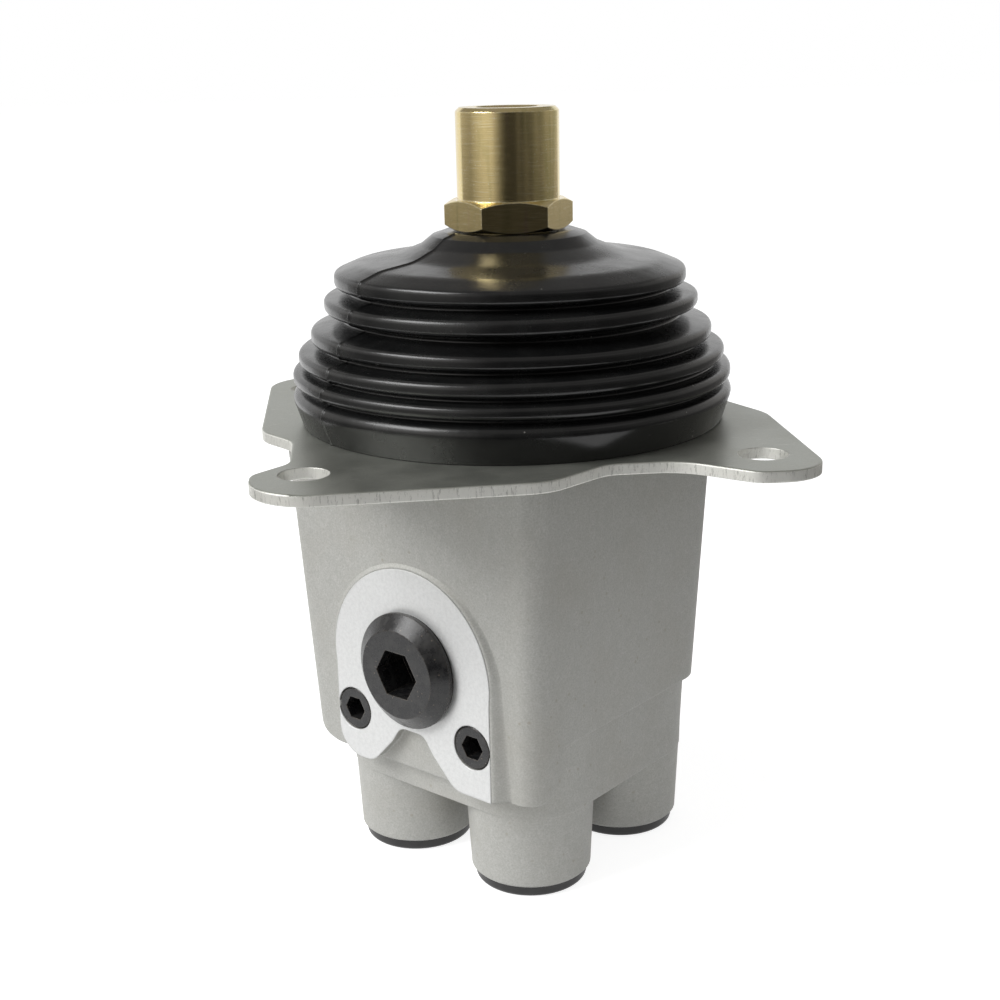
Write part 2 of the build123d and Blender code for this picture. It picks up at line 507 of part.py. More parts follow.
def all_nodes():
    """Every piece by its node name, about the lever axis."""
    nodes = {
        "casting_body": casting_body(),
        "mounting_plate": mounting_plate(),
        "plate_screws": plate_screws(),
        "joint_base": joint_base(),
        "front_port_plug": front_port_plug(),
        "port_plug_seal": port_plug_seal(),
        "left_gallery_plug": gallery_plug(-GALLERY_X),
        "right_gallery_plug": gallery_plug(GALLERY_X),
        "supply_port_cap": rear_port_cap(REAR_PORTS["supply"]),
        "return_port_cap": rear_port_cap(REAR_PORTS["return"]),
        "boot": boot(),
        "lower_pivot_pins": pivot_pins(),
        "cross_block": cross_block(),
        "upper_pivot_pins": Rot(0, 0, 90) * pivot_pins(),
        "upper_yoke": upper_yoke(),
        "swash_plate": swash_plate(),
        "lock_nut": lock_nut(),
        "handle_adapter": handle_adapter(),
    }
    for leg in LEGS:
        nodes.update(cartridge_nodes(leg))
    return nodes


def export_nodes(nodes):
    """Write one STEP file per node, moved from the lever axis to the frame's origin."""
    os.makedirs("parts", exist_ok=True)
    for name, part in nodes.items():
        export_step(Pos(0, LEVER_Y, 0) * part, f"parts/{name}.step")


export_nodes(all_nodes())
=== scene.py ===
"""Dressed model of a hydraulic pilot joystick valve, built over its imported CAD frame.

Lengths inside the classes are millimetres in the CAD's own frame (origin at the centre of the mounting holes,
+Z up through the plate); they become metres where a mesh is made. The lever axis stands at y = LEVER_Y.
"""

import json
import logging
from dataclasses import dataclass
from enum import Enum
from typing import Optional, Union

import bpy
import numpy as np
from mathutils import Matrix, Vector

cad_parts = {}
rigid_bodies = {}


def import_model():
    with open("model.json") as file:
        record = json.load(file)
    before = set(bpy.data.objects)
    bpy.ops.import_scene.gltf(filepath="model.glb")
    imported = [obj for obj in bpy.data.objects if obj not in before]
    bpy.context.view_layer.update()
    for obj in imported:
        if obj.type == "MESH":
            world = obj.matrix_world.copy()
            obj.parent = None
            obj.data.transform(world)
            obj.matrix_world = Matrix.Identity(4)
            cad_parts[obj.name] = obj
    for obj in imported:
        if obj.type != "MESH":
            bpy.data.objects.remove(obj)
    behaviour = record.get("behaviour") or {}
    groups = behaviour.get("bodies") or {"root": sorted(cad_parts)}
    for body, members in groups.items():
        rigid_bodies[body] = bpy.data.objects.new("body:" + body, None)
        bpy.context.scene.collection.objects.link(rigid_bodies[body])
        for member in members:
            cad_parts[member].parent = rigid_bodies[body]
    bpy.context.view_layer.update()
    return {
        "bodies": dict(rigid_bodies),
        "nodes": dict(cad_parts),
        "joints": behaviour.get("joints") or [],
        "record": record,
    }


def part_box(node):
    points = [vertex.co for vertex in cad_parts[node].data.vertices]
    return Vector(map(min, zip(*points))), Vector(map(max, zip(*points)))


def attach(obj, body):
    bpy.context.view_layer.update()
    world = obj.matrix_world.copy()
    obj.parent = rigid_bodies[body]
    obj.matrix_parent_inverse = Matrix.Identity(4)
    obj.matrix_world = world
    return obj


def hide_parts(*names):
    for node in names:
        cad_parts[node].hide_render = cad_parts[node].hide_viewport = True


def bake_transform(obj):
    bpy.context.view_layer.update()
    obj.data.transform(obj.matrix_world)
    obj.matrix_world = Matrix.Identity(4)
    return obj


MM = 0.001
LEVER_Y = 5.0
LEGS = ("front", "right", "back", "left")
DIAGONAL = 0.5 ** 0.5       # the casting stands turned by 45 degrees
BEVEL_SAMPLES = 6
WHITE = (1.0, 1.0, 1.0)
MOST_NOISE = (0.3, 0.7)     # nearly all values of a noise lie between these

log = logging.getLogger("valve")

Triple = tuple[float, float, float]
Colour = Triple
Band = tuple[float, ...]    # low and high of a value, then what they are mapped to
Socket = bpy.types.NodeSocket
Value = Union[float, Socket]


# ---- node graphs --------------------------------------------------------------------------------------
@dataclass(frozen=True)
class Grain:
    """Fractal noise: blotch width in mm, finer octaves, their strength, stretch along each axis, and warp."""

    size: float
    detail: float = 2.0
    rough: float = 0.5
    stretch: Optional[Triple] = None
    warp: float = 0.0


@dataclass(frozen=True)
class Specks:
    """Scattered specks: mm between them, band of the distance from each, and the noise zones they keep to."""

    spacing: float
    band: Band
    zones: Optional[Grain] = None
    zone_band: Band = (0.0, 1.0)


class Tree:
    """A node tree, with short calls to add nodes and feed their inputs."""

    def __init__(self, owner: Union[bpy.types.Material, bpy.types.World]) -> None:
        """Empties the owner's node tree.

        Args:
            owner: the material or world that the tree belongs to.
        """
        owner.use_nodes = True
        self.owner = owner
        self.tree = owner.node_tree
        self.tree.nodes.clear()

    def node(self, kind: str, **settings: object) -> bpy.types.Node:
        """Adds a node.

        Args:
            kind: the node's type name.
            settings: properties to set on it.

        Returns:
            The node.
        """
        made = self.tree.nodes.new(kind)
        for key, value in settings.items():
            setattr(made, key, value)
        return made

    def feed(self, socket: Socket, value: Optional[object]) -> None:
        """Links a socket into another one, or sets a constant on it.

        Args:
            socket: the input that is fed.
            value: an output socket, a number or tuple, or None to leave the input alone.
        """
        if isinstance(value, bpy.types.NodeSocket):
            self.tree.links.new(value, socket)
        elif value is not None:
            socket.default_value = value

    def show(self, kind: str, shader: Socket) -> None:
        """Adds the output node and links a shader to its surface."""
        self.feed(self.node(kind).inputs["Surface"], shader)

    def math(self, operation: str, first: Value, second: Optional[Value] = None, third: Optional[Value] = None,
             clamp: bool = False) -> Socket:
        """A Math node.

        Args:
            operation: its operation, such as "MULTIPLY".
            first: first value.
            second: second value, if the operation has one.
            third: third value, if the operation has one.
            clamp: keep the result between 0 and 1.

        Returns:
            The result.
        """
        made = self.node("ShaderNodeMath", operation=operation, use_clamp=clamp)
        for socket, value in zip(made.inputs, (first, second, third)):
            self.feed(socket, value)
        return made.outputs[0]

    def span(self, value: Socket, low: float, high: float, to_low: float = 0.0, to_high: float = 1.0) -> Socket:
        """Maps low..high on to to_low..to_high, held at the ends.

        Args:
            value: the value that is mapped.
            low: its lower end.
            high: its upper end.
            to_low: the result at the lower end.
            to_high: the result at the upper end.

        Returns:
            The mapped value.
        """
        made = self.node("ShaderNodeMapRange", clamp=True)
        for socket, number in zip(made.inputs, (value, low, high, to_low, to_high)):
            self.feed(socket, number)
        return made.outputs[0]

    def rays(self, *kinds: str) -> Socket:
        """Picks out rays by their kind.

        Args:
            kinds: the kinds, such as "Camera" or "Glossy".

        Returns:
            1 for a ray of any of these kinds, 0 for the others.
        """
        path = self.node("ShaderNodeLightPath")
        seen = path.outputs[f"Is {kinds[0]} Ray"]
        for kind in kinds[1:]:
            seen = self.math("MAXIMUM", seen, path.outputs[f"Is {kind} Ray"])
        return seen


class Graph(Tree):
    """A surface material's node tree, with the nodes that the finishes share."""

    def __init__(self, name: str) -> None:
        """Makes an empty material with a Principled shader on its output.

        Args:
            name: the material's name.
        """
        super().__init__(bpy.data.materials.new(name))
        self.shader = self.node("ShaderNodeBsdfPrincipled")
        self.show("ShaderNodeOutputMaterial", self.shader.outputs[0])
        self.coordinates = self.node("ShaderNodeTexCoord")

    def surface(self, **inputs: object) -> bpy.types.Material:
        """Feeds the shader's inputs.

        Args:
            inputs: the value of each input; an underscore in its name stands for a space.

        Returns:
            The finished material.
        """
        for key, value in inputs.items():
            self.feed(self.shader.inputs[key.replace("_", " ")], value)
        return self.owner

    def noise(self, grain: Grain) -> Socket:
        """Fractal noise in the object's coordinates.

        Args:
            grain: its size and shape.

        Returns:
            The noise value, near 0.5 on average.
        """
        where = self.coordinates.outputs["Object"]
        if grain.stretch:
            mapping = self.node("ShaderNodeMapping")
            self.feed(mapping.inputs["Vector"], where)
            mapping.inputs["Scale"].default_value = grain.stretch
            where = mapping.outputs["Vector"]
        made = self.node("ShaderNodeTexNoise")
        self.feed(made.inputs["Vector"], where)
        made.inputs["Scale"].default_value = 1.0 / (grain.size * MM)
        made.inputs["Detail"].default_value = grain.detail
        made.inputs["Roughness"].default_value = grain.rough
        made.inputs["Distortion"].default_value = grain.warp
        return made.outputs["Fac"]

    def specks(self, specks: Specks) -> Socket:
        """Value that follows the distance to the nearest of scattered points.

        Args:
            specks: their spacing, size and zones.

        Returns:
            The value, mapped by the band and kept to the zones.
        """
        cells = self.node("ShaderNodeTexVoronoi")
        self.feed(cells.inputs["Vector"], self.coordinates.outputs["Object"])
        cells.inputs["Scale"].default_value = 1.0 / (specks.spacing * MM)
        value = self.span(cells.outputs["Distance"], *specks.band)
        if specks.zones:
            value = self.math("MULTIPLY", value, self.span(self.noise(specks.zones), *specks.zone_band))
        return value

    def mixed(self, share: Value, first: Union[Colour, Socket], second: Union[Colour, Socket]) -> Socket:
        """Two colours mixed.

        Args:
            share: how much of the second shows.
            first: the colour below.
            second: the colour above.

        Returns:
            The mixed colour.
        """
        made = self.node("ShaderNodeMix", data_type="RGBA")
        for name, value in (("Factor_Float", share), ("A_Color", first), ("B_Color", second)):
            socket = next(s for s in made.inputs if s.identifier == name)
            self.feed(socket, (*value, 1.0) if isinstance(value, tuple) else value)
        return next(s for s in made.outputs if s.identifier == "Result_Color")

    def ramp(self, value: Socket, stops: Band, *colours: Colour) -> Socket:
        """Colour ramp.

        Args:
            value: where on the ramp, 0 to 1.
            stops: position of each stop, in order.
            colours: colour of each stop.

        Returns:
            The colour.
        """
        made = self.node("ShaderNodeValToRGB")
        elements = made.color_ramp.elements
        while len(elements) < len(stops):
            elements.new(0.5)
        for element, position, colour in zip(elements, stops, colours):
            element.position = position
            element.color = (*colour, 1.0)
        self.feed(made.inputs["Fac"], value)
        return made.outputs["Color"]

    def axis(self, which: str, kind: str = "Object") -> Socket:
        """One component of the object's coordinates or of its normal.

        Args:
            which: "X", "Y" or "Z".
            kind: "Object" or "Normal".

        Returns:
            The component.
        """
        made = self.node("ShaderNodeSeparateXYZ")
        self.feed(made.inputs[0], self.coordinates.outputs[kind])
        return made.outputs[which]

    def softened(self, radius: float) -> Socket:
        """Normal that turns smoothly over the edges.

        Args:
            radius: how far from the edge it turns, in mm.

        Returns:
            The normal.
        """
        soft = self.node("ShaderNodeBevel", samples=BEVEL_SAMPLES)
        soft.inputs["Radius"].default_value = radius * MM
        return soft.outputs["Normal"]

    def relief(self, *layers: tuple[Socket, float], edge: float = 0.0) -> Socket:
        """Bumps laid over each other, on edges softened by a small radius.

        Args:
            layers: a height from 0 to 1 and its depth in mm, for each bump.
            edge: radius of the softened edges in mm, or 0 for none.

        Returns:
            The shading normal.
        """
        normal = self.softened(edge) if edge else None
        for height, depth in layers:
            made = self.node("ShaderNodeBump")
            made.inputs["Distance"].default_value = depth * MM
            self.feed(made.inputs["Height"], height)
            self.feed(made.inputs["Normal"], normal)
            normal = made.outputs["Normal"]
        return normal

    def wear(self, reach: float, strength: float, turned: Band = (0.02, 0.12), grain: Grain = Grain(0.7, 4.0, 0.7),
             broken: Band = (0.38, 0.62)) -> Socket:
        """Share of wear: full on sharp edges and 0 on faces, broken up by fine noise.

        Args:
            reach: how far the wear reaches from the edge, in mm.
            strength: the share on a sharp edge.
            turned: turn of the softened normal at which wear begins, and at which it is full.
            grain: the noise that breaks it up.
            broken: noise values between which it comes in.

        Returns:
            The wear.
        """
        geometry = self.node("ShaderNodeNewGeometry")
        turn = self.node("ShaderNodeVectorMath", operation="DOT_PRODUCT")
        self.feed(turn.inputs[0], self.softened(reach))
        self.feed(turn.inputs[1], geometry.outputs["Normal"])
        bent = self.span(self.math("SUBTRACT", 1.0, turn.outputs["Value"]), *turned)
        worn = self.math("MULTIPLY", bent, self.span(self.noise(grain), *broken), clamp=True)
        return self.math("MULTIPLY", worn, strength)


# ---- finishes -----------------------------------------------------------------------------------------
@dataclass(frozen=True)
class CastAluminium:
    """Shot-blasted cast aluminium with a milled port face and milled leg feet."""

    base: Colour = (0.47, 0.47, 0.445)
    dark: Colour = (0.37, 0.37, 0.345)
    light: Colour = (0.57, 0.57, 0.55)
    stain: Colour = (0.34, 0.31, 0.25)
    milled: Colour = (0.73, 0.735, 0.73)
    milled_dark: Colour = (0.66, 0.665, 0.66)
    pad_distance: float = 36.33
    pad_top: float = -20.0
    foot_height: float = -94.85
    blast: Grain = Grain(0.38, 4.0, 0.7)
    blast_stops: Band = (0.30, 0.50, 0.70)
    blotches: Grain = Grain(1.9, 3.0, 0.6)
    blotch_band: Band = (0.35, 0.65, 0.0, 0.25)
    stains: Grain = Grain(16.0, 3.0, 0.55)
    stain_band: Band = (0.45, 0.72, 0.0, 0.16)
    specks: Specks = Specks(2.6, (0.10, 0.17, 1.0, 0.0), Grain(9.0, 1.0), (0.48, 0.60))
    speck_strength: float = 0.55
    milling: Grain = Grain(0.8, 4.0, 0.7)
    milled_stops: Band = (0.35, 0.60)
    edge_wear: tuple[float, float] = (0.8, 0.45)
    metallic: float = 0.38
    rough_band: Band = (*MOST_NOISE, 0.50, 0.66)
    milled_smoother: float = -0.13
    blast_depth: float = 0.045
    blast_when_milled: float = 0.25
    pits: Specks = Specks(0.9, (0.0, 0.35))
    pit_depth: float = 0.02
    pits_when_milled: float = 0.2
    soft_edge: float = 0.6

    def milled_share(self, graph: Graph) -> Socket:
        """Share of milled metal: 1 where (-x - (y - LEVER_Y)) / sqrt 2 reaches the port face, or at a leg's foot.

        Args:
            graph: the material's graph.

        Returns:
            The share, 0 or 1.
        """
        along = graph.math("ADD", graph.axis("X"), graph.axis("Y"))
        distance = graph.math("MULTIPLY_ADD", along, -DIAGONAL, LEVER_Y * MM * DIAGONAL)
        front = graph.math("GREATER_THAN", distance, self.pad_distance * MM)
        below = graph.math("LESS_THAN", graph.axis("Z"), self.pad_top * MM)
        foot = graph.math("LESS_THAN", graph.axis("Z"), self.foot_height * MM)
        return graph.math("MAXIMUM", graph.math("MULTIPLY", front, below), foot)

    def make(self) -> bpy.types.Material:
        """Blast grain of two sizes, pits, faint brown stains, and the smoother milled faces.

        Returns:
            The material.
        """
        graph = Graph("cast_aluminium")
        milled = self.milled_share(graph)
        grain = graph.noise(self.blast)
        skin = graph.ramp(grain, self.blast_stops, self.dark, self.base, self.light)
        skin = graph.mixed(graph.span(graph.noise(self.blotches), *self.blotch_band), skin, self.dark)
        skin = graph.mixed(graph.span(graph.noise(self.stains), *self.stain_band), skin, self.stain)
        specks = graph.math("MULTIPLY", graph.specks(self.specks), self.speck_strength)
        skin = graph.mixed(specks, skin, self.stain)
        face = graph.ramp(graph.noise(self.milling), self.milled_stops, self.milled_dark, self.milled)
        colour = graph.mixed(milled, skin, face)
        colour = graph.mixed(graph.wear(*self.edge_wear), colour, self.milled)
        rough = graph.math("MULTIPLY_ADD", milled, self.milled_smoother, graph.span(grain, *self.rough_band))
        blast = graph.math("MULTIPLY", grain, graph.span(milled, 0.0, 1.0, 1.0, self.blast_when_milled))
        pits = graph.math("MULTIPLY", graph.specks(self.pits),
                          graph.span(milled, 0.0, 1.0, 1.0, self.pits_when_milled))
        normal = graph.relief((blast, self.blast_depth), (pits, self.pit_depth), edge=self.soft_edge)
        return graph.surface(Base_Color=colour, Metallic=self.metallic, Roughness=rough, Normal=normal)


@dataclass(frozen=True)
class PlateSteel:
    """Zinc-plated sheet steel with brighter, streaked sheared edges."""

    face: Colour = (0.415, 0.425, 0.385)
    face_dark: Colour = (0.335, 0.345, 0.31)
    sheared: Colour = (0.74, 0.74, 0.70)
    sheared_dark: Colour = (0.45, 0.45, 0.42)
    grain: Grain = Grain(0.35, 3.0, 0.7)
    cloud: Grain = Grain(11.0, 3.0, 0.6)
    cloud_share: float = 0.6
    face_stops: Band = (0.38, 0.60)
    streaks: Grain = Grain(0.55, 4.0, 0.8, (1.0, 1.0, 0.22))
    streak_stops: Band = (0.34, 0.46)
    side_band: Band = (0.35, 0.65, 1.0, 0.0)
    scratches: Grain = Grain(0.5, 3.0, 0.6, (0.12, 1.0, 1.0))
    scratch_band: Band = (0.64, 0.72)
    scratch_strength: float = 0.35
    edge_wear: tuple[float, float] = (0.5, 0.6)
    metallic: float = 0.8
    rough_band: Band = (*MOST_NOISE, 0.34, 0.44)
    side_rougher: float = 0.12
    grain_depth: float = 0.018
    streak_depth: float = 0.06
    soft_edge: float = 0.35

    def make(self) -> bpy.types.Material:
        """Satin faces with fine grain, and sheared edges with streaks across their thickness.

        Returns:
            The material.
        """
        graph = Graph("plate_steel")
        grain, cloud = graph.noise(self.grain), graph.noise(self.cloud)
        tone = graph.math("MULTIPLY_ADD", cloud, self.cloud_share,
                          graph.math("MULTIPLY", grain, 1 - self.cloud_share))
        face = graph.ramp(tone, self.face_stops, self.face_dark, self.face)
        streaks = graph.noise(self.streaks)
        side = graph.ramp(streaks, self.streak_stops, self.sheared_dark, self.sheared)
        is_side = graph.span(graph.math("ABSOLUTE", graph.axis("Z", "Normal")), *self.side_band)
        scratch = graph.span(graph.noise(self.scratches), *self.scratch_band)
        colour = graph.mixed(graph.math("MULTIPLY", scratch, self.scratch_strength), face, self.sheared)
        colour = graph.mixed(is_side, colour, side)
        colour = graph.mixed(graph.wear(*self.edge_wear), colour, self.sheared)
        rough = graph.math("MULTIPLY_ADD", is_side, self.side_rougher, graph.span(cloud, *self.rough_band))
        normal = graph.relief((grain, self.grain_depth),
                              (graph.math("MULTIPLY", streaks, is_side), self.streak_depth), edge=self.soft_edge)
        return graph.surface(Base_Color=colour, Metallic=self.metallic, Roughness=rough, Normal=normal)


@dataclass(frozen=True)
class ChromateZinc:
    """Yellow chromate over zinc: gold with olive and rose patches and fine turning scratches."""

    gold: Colour = (0.76, 0.62, 0.31)
    olive: Colour = (0.58, 0.50, 0.23)
    rose: Colour = (0.74, 0.54, 0.37)
    pale: Colour = (0.90, 0.85, 0.66)
    patches: Grain = Grain(5.5, 3.0, 0.6, (1.0, 1.0, 0.14), 0.3)
    patch_stops: Band = (0.34, 0.46, 0.58, 0.70)
    turning: Grain = Grain(0.28, 4.0, 0.75, (0.045, 0.045, 1.0))
    line_band: Band = (0.55, 0.66)
    line_strength: float = 0.4
    shade_band: Band = (0.30, 0.46, 0.35, 0.0)
    specks: Specks = Specks(1.1, (0.08, 0.16, 0.5, 0.0))
    edge_wear: tuple[float, float] = (0.7, 0.85)
    rough_band: Band = (*MOST_NOISE, 0.12, 0.24)
    turning_depth: float = 0.007
    waves: Grain = Grain(2.4, 2.0)
    wave_depth: float = 0.012
    soft_edge: float = 0.3

    def make(self) -> bpy.types.Material:
        """Patches stretched along the lever, scratches stretched round it, and pale worn edges.

        Returns:
            The material.
        """
        graph = Graph("chromate_zinc")
        film = graph.ramp(graph.noise(self.patches), self.patch_stops, self.olive, self.gold, self.gold, self.rose)
        turning = graph.noise(self.turning)
        lines = graph.math("MULTIPLY", graph.span(turning, *self.line_band), self.line_strength)
        film = graph.mixed(lines, film, self.pale)
        film = graph.mixed(graph.span(turning, *self.shade_band), film, self.olive)
        film = graph.mixed(graph.specks(self.specks), film, self.pale)
        film = graph.mixed(graph.wear(*self.edge_wear), film, self.pale)
        normal = graph.relief((turning, self.turning_depth), (graph.noise(self.waves), self.wave_depth),
                              edge=self.soft_edge)
        return graph.surface(Base_Color=film, Metallic=1.0, Roughness=graph.span(turning, *self.rough_band),
                             Normal=normal)


@dataclass(frozen=True)
class BlackOxide:
    """Black oxide on steel, rubbed to brown-grey on its edges."""

    base: Colour = (0.012, 0.012, 0.013)
    rubbed: Colour = (0.16, 0.13, 0.10)
    dusty: Colour = (0.035, 0.034, 0.033)
    bloom: Grain = Grain(2.2, 4.0, 0.65)
    bloom_stops: Band = (0.42, 0.72)
    specks: Specks = Specks(1.7, (0.06, 0.12, 0.7, 0.0))
    edge_wear: tuple[float, float] = (0.5, 0.6)
    metallic: float = 0.15
    rough_band: Band = (*MOST_NOISE, 0.20, 0.36)
    grain: Grain = Grain(0.5, 3.0)
    grain_depth: float = 0.02
    soft_edge: float = 0.3

    def make(self) -> bpy.types.Material:
        """Near-black with a dusty bloom and worn edges.

        Returns:
            The material.
        """
        graph = Graph("black_oxide")
        bloom = graph.noise(self.bloom)
        colour = graph.ramp(bloom, self.bloom_stops, self.base, self.dusty)
        colour = graph.mixed(graph.specks(self.specks), colour, self.rubbed)
        colour = graph.mixed(graph.wear(*self.edge_wear), colour, self.rubbed)
        return graph.surface(Base_Color=colour, Metallic=self.metallic,
                             Roughness=graph.span(bloom, *self.rough_band),
                             Normal=graph.relief((graph.noise(self.grain), self.grain_depth), edge=self.soft_edge))


@dataclass(frozen=True)
class BootRubber:
    """Moulded black rubber with a satin skin and a few dust specks."""

    base: Colour = (0.0060, 0.0062, 0.0064)
    bloom: Colour = (0.0120, 0.0122, 0.0120)
    dust: Colour = (0.30, 0.29, 0.27)
    cloud: Grain = Grain(9.0, 4.0, 0.6)
    cloud_stops: Band = (0.40, 0.75)
    specks: Specks = Specks(3.4, (0.035, 0.06, 1.0, 0.0), Grain(6.0, 1.0), (0.52, 0.58))
    lint: Grain = Grain(0.9, 2.0, stretch=(0.25, 1.0, 1.0))
    lint_band: Band = (0.76, 0.80)
    dust_strength: float = 0.5
    rough_band: Band = (*MOST_NOISE, 0.20, 0.30)
    skin: Grain = Grain(0.30, 3.0, 0.6)
    skin_depth: float = 0.010
    waves: Grain = Grain(4.0, 3.0, 0.5)
    wave_depth: float = 0.05

    def make(self) -> bpy.types.Material:
        """Faint mould bloom, a fine skin texture, and sparse dust.

        Returns:
            The material.
        """
        graph = Graph("boot_rubber")
        cloud = graph.noise(self.cloud)
        colour = graph.ramp(cloud, self.cloud_stops, self.base, self.bloom)
        lint = graph.span(graph.noise(self.lint), *self.lint_band)
        dust = graph.math("MAXIMUM", graph.specks(self.specks), lint)
        colour = graph.mixed(graph.math("MULTIPLY", dust, self.dust_strength), colour, self.dust)
        normal = graph.relief((graph.noise(self.skin), self.skin_depth), (graph.noise(self.waves), self.wave_depth))
        return graph.surface(Base_Color=colour, Roughness=graph.span(cloud, *self.rough_band), Normal=normal)


@dataclass(frozen=True)
class PlainRubber:
    """Matt rubber or plastic for seals and caps."""

    name: str
    base: Colour
    bloom: Colour
    rough: float
    grain: Grain
    depth: float
    cloud: Grain = Grain(3.0, 3.0, 0.6)
    cloud_stops: Band = (0.38, 0.68)
    rough_swing: float = 0.06
    soft_edge: float = 0.3

    def make(self) -> bpy.types.Material:
        """Two close tones in fine noise, with a moulded grain.

        Returns:
            The material.
        """
        graph = Graph(self.name)
        grain = graph.noise(self.grain)
        colour = graph.ramp(graph.noise(self.cloud), self.cloud_stops, self.base, self.bloom)
        rough = graph.span(grain, *MOST_NOISE, self.rough - self.rough_swing, self.rough + self.rough_swing)
        return graph.surface(Base_Color=colour, Roughness=rough,
                             Normal=graph.relief((grain, self.depth), edge=self.soft_edge))


@dataclass(frozen=True)
class TurnedMetal:
    """Turned, ground or drawn metal: fine marks round the part's own axis."""

    name: str
    base: Colour
    dark: Colour
    rough: float
    marks: Grain
    mark_stops: Band = (0.32, 0.58)
    tint: Grain = Grain(5.0, 2.0, 0.5)
    tint_band: Band = (0.45, 0.75, 0.0, 0.25)
    rough_swing: tuple[float, float] = (-0.05, 0.08)
    mark_depth: float = 0.012
    soft_edge: float = 0.15

    def make(self) -> bpy.types.Material:
        """Tool marks over a faint oil tint.

        Returns:
            The material.
        """
        graph = Graph(self.name)
        marks = graph.noise(self.marks)
        colour = graph.ramp(marks, self.mark_stops, self.dark, self.base)
        colour = graph.mixed(graph.span(graph.noise(self.tint), *self.tint_band), colour, self.dark)
        rough = graph.span(marks, *MOST_NOISE, *(self.rough + swing for swing in self.rough_swing))
        return graph.surface(Base_Color=colour, Metallic=1.0, Roughness=rough,
                             Normal=graph.relief((marks, self.mark_depth), edge=self.soft_edge))


ROUND_THE_LEVER = (0.06, 0.06, 1.0)     # stretch that lays tool marks round Z


class Slot(Enum):
    """The record's material slots, each with the finish it is given."""

    CASTING = ("casting", CastAluminium())
    PLATE = ("plate_steel", PlateSteel())
    CHROMATE = ("zinc_yellow", ChromateZinc())
    BLACK_STEEL = ("black_steel", BlackOxide())
    BOOT = ("boot_rubber", BootRubber())
    SEAL = ("seal_rubber", PlainRubber("seal_rubber", (0.008, 0.008, 0.008), (0.016, 0.016, 0.015), 0.5,
                                       Grain(0.4, 3.0, 0.6), 0.01))
    PLASTIC = ("black_plastic", PlainRubber("black_plastic", (0.007, 0.007, 0.007), (0.017, 0.016, 0.016), 0.38,
                                            Grain(0.35, 3.0, 0.6), 0.012))
    GROUND = ("ground_steel", TurnedMetal("ground_steel", (0.58, 0.58, 0.585), (0.42, 0.42, 0.425), 0.24,
                                          Grain(0.12, 4.0, 0.7, ROUND_THE_LEVER)))
    SPRING = ("spring_steel", TurnedMetal("spring_steel", (0.36, 0.36, 0.37), (0.20, 0.20, 0.21), 0.32,
                                          Grain(0.2, 4.0, 0.7)))
    BRASS = ("bushing_brass", TurnedMetal("bushing_brass", (0.66, 0.48, 0.20), (0.46, 0.32, 0.12), 0.26,
                                          Grain(0.15, 4.0, 0.7, ROUND_THE_LEVER)))

    @property
    def slot(self) -> str:
        """The slot's name in the record."""
        return self.value[0]


class Paint:
    """Makes each finish once and hands it out."""

    def __init__(self) -> None:
        """Builds every slot's material."""
        self.materials = {slot.slot: slot.value[1].make() for slot in Slot}

    def node(self, name: str, obj: bpy.types.Object, slot: str) -> None:
        """Gives a CAD node its finish.

        Args:
            name: the node's name, for the log.
            obj: the node's object.
            slot: the record's material slot.
        """
        if not obj.material_slots:
            obj.data.materials.append(None)
        for place in obj.material_slots:
            place.material = self.materials[slot]
        log.info("dressed %s in %s", name, slot)

    def piece(self, obj: bpy.types.Object, slot: Slot) -> None:
        obj.data.materials.append(self.materials[slot.slot])


def placed(name: str, data: bpy.types.ID) -> bpy.types.Object:
    """Puts a mesh, lamp or camera in the scene.

    Args:
        name: the object's name.
        data: what it shows.

    Returns:
        The object, at the origin.
    """
    obj = bpy.data.objects.new(name, data)
    bpy.context.scene.collection.objects.link(obj)
    return obj


# ---- meshes -------------------------------------------------------------------------------------------
SHARP_RADIUS = 1e-6         # stands for a corner radius of 0
MERGED_BELOW = 1e-3         # points of an outline closer than this are one point


def rounded_loop(corners: np.ndarray, radii: np.ndarray, steps: int) -> tuple[np.ndarray, np.ndarray]:
    """Closed outline with an arc in place of each corner.

    At corner P with unit directions u and v to its neighbours, the arc of radius r starts at P + u t and ends at
    P + v t, with t = r / tan(phi / 2) and phi the angle between u and v; it turns about
    C = P + (u + v) / |u + v| * r / sin(phi / 2) by interpolating between its two end radii on the circle.

    Args:
        corners: (n, 2) corner points in order.
        radii: (n,) arc radii, 0 for a sharp corner.
        steps: points on each arc.

    Returns:
        (m, 2) points and (m,) the corner each came from.
    """
    back = np.roll(corners, 1, 0) - corners
    ahead = np.roll(corners, -1, 0) - corners
    u = back / np.linalg.norm(back, axis=1, keepdims=True)
    v = ahead / np.linalg.norm(ahead, axis=1, keepdims=True)
    phi = np.arccos(np.clip((u * v).sum(1), -1, 1))
    reach = np.maximum(radii, SHARP_RADIUS)[:, None]
    middle = (u + v) / np.linalg.norm(u + v, axis=1, keepdims=True)
    centre = corners + middle * reach / np.sin(phi / 2)[:, None]
    start = corners + u * reach / np.tan(phi / 2)[:, None] - centre
    end = corners + v * reach / np.tan(phi / 2)[:, None] - centre
    turn = (np.pi - phi)[:, None]
    share = np.linspace(0, 1, steps)[None, :]
    first = (np.sin((1 - share) * turn) / np.sin(turn))[..., None]
    second = (np.sin(share * turn) / np.sin(turn))[..., None]
    points = (centre[:, None] + first * start[:, None] + second * end[:, None]).reshape(-1, 2)
    origin = np.repeat(np.arange(len(corners)), steps)
    kept = np.linalg.norm(points - np.roll(points, 1, 0), axis=1) > MERGED_BELOW
    return points[kept], origin[kept]


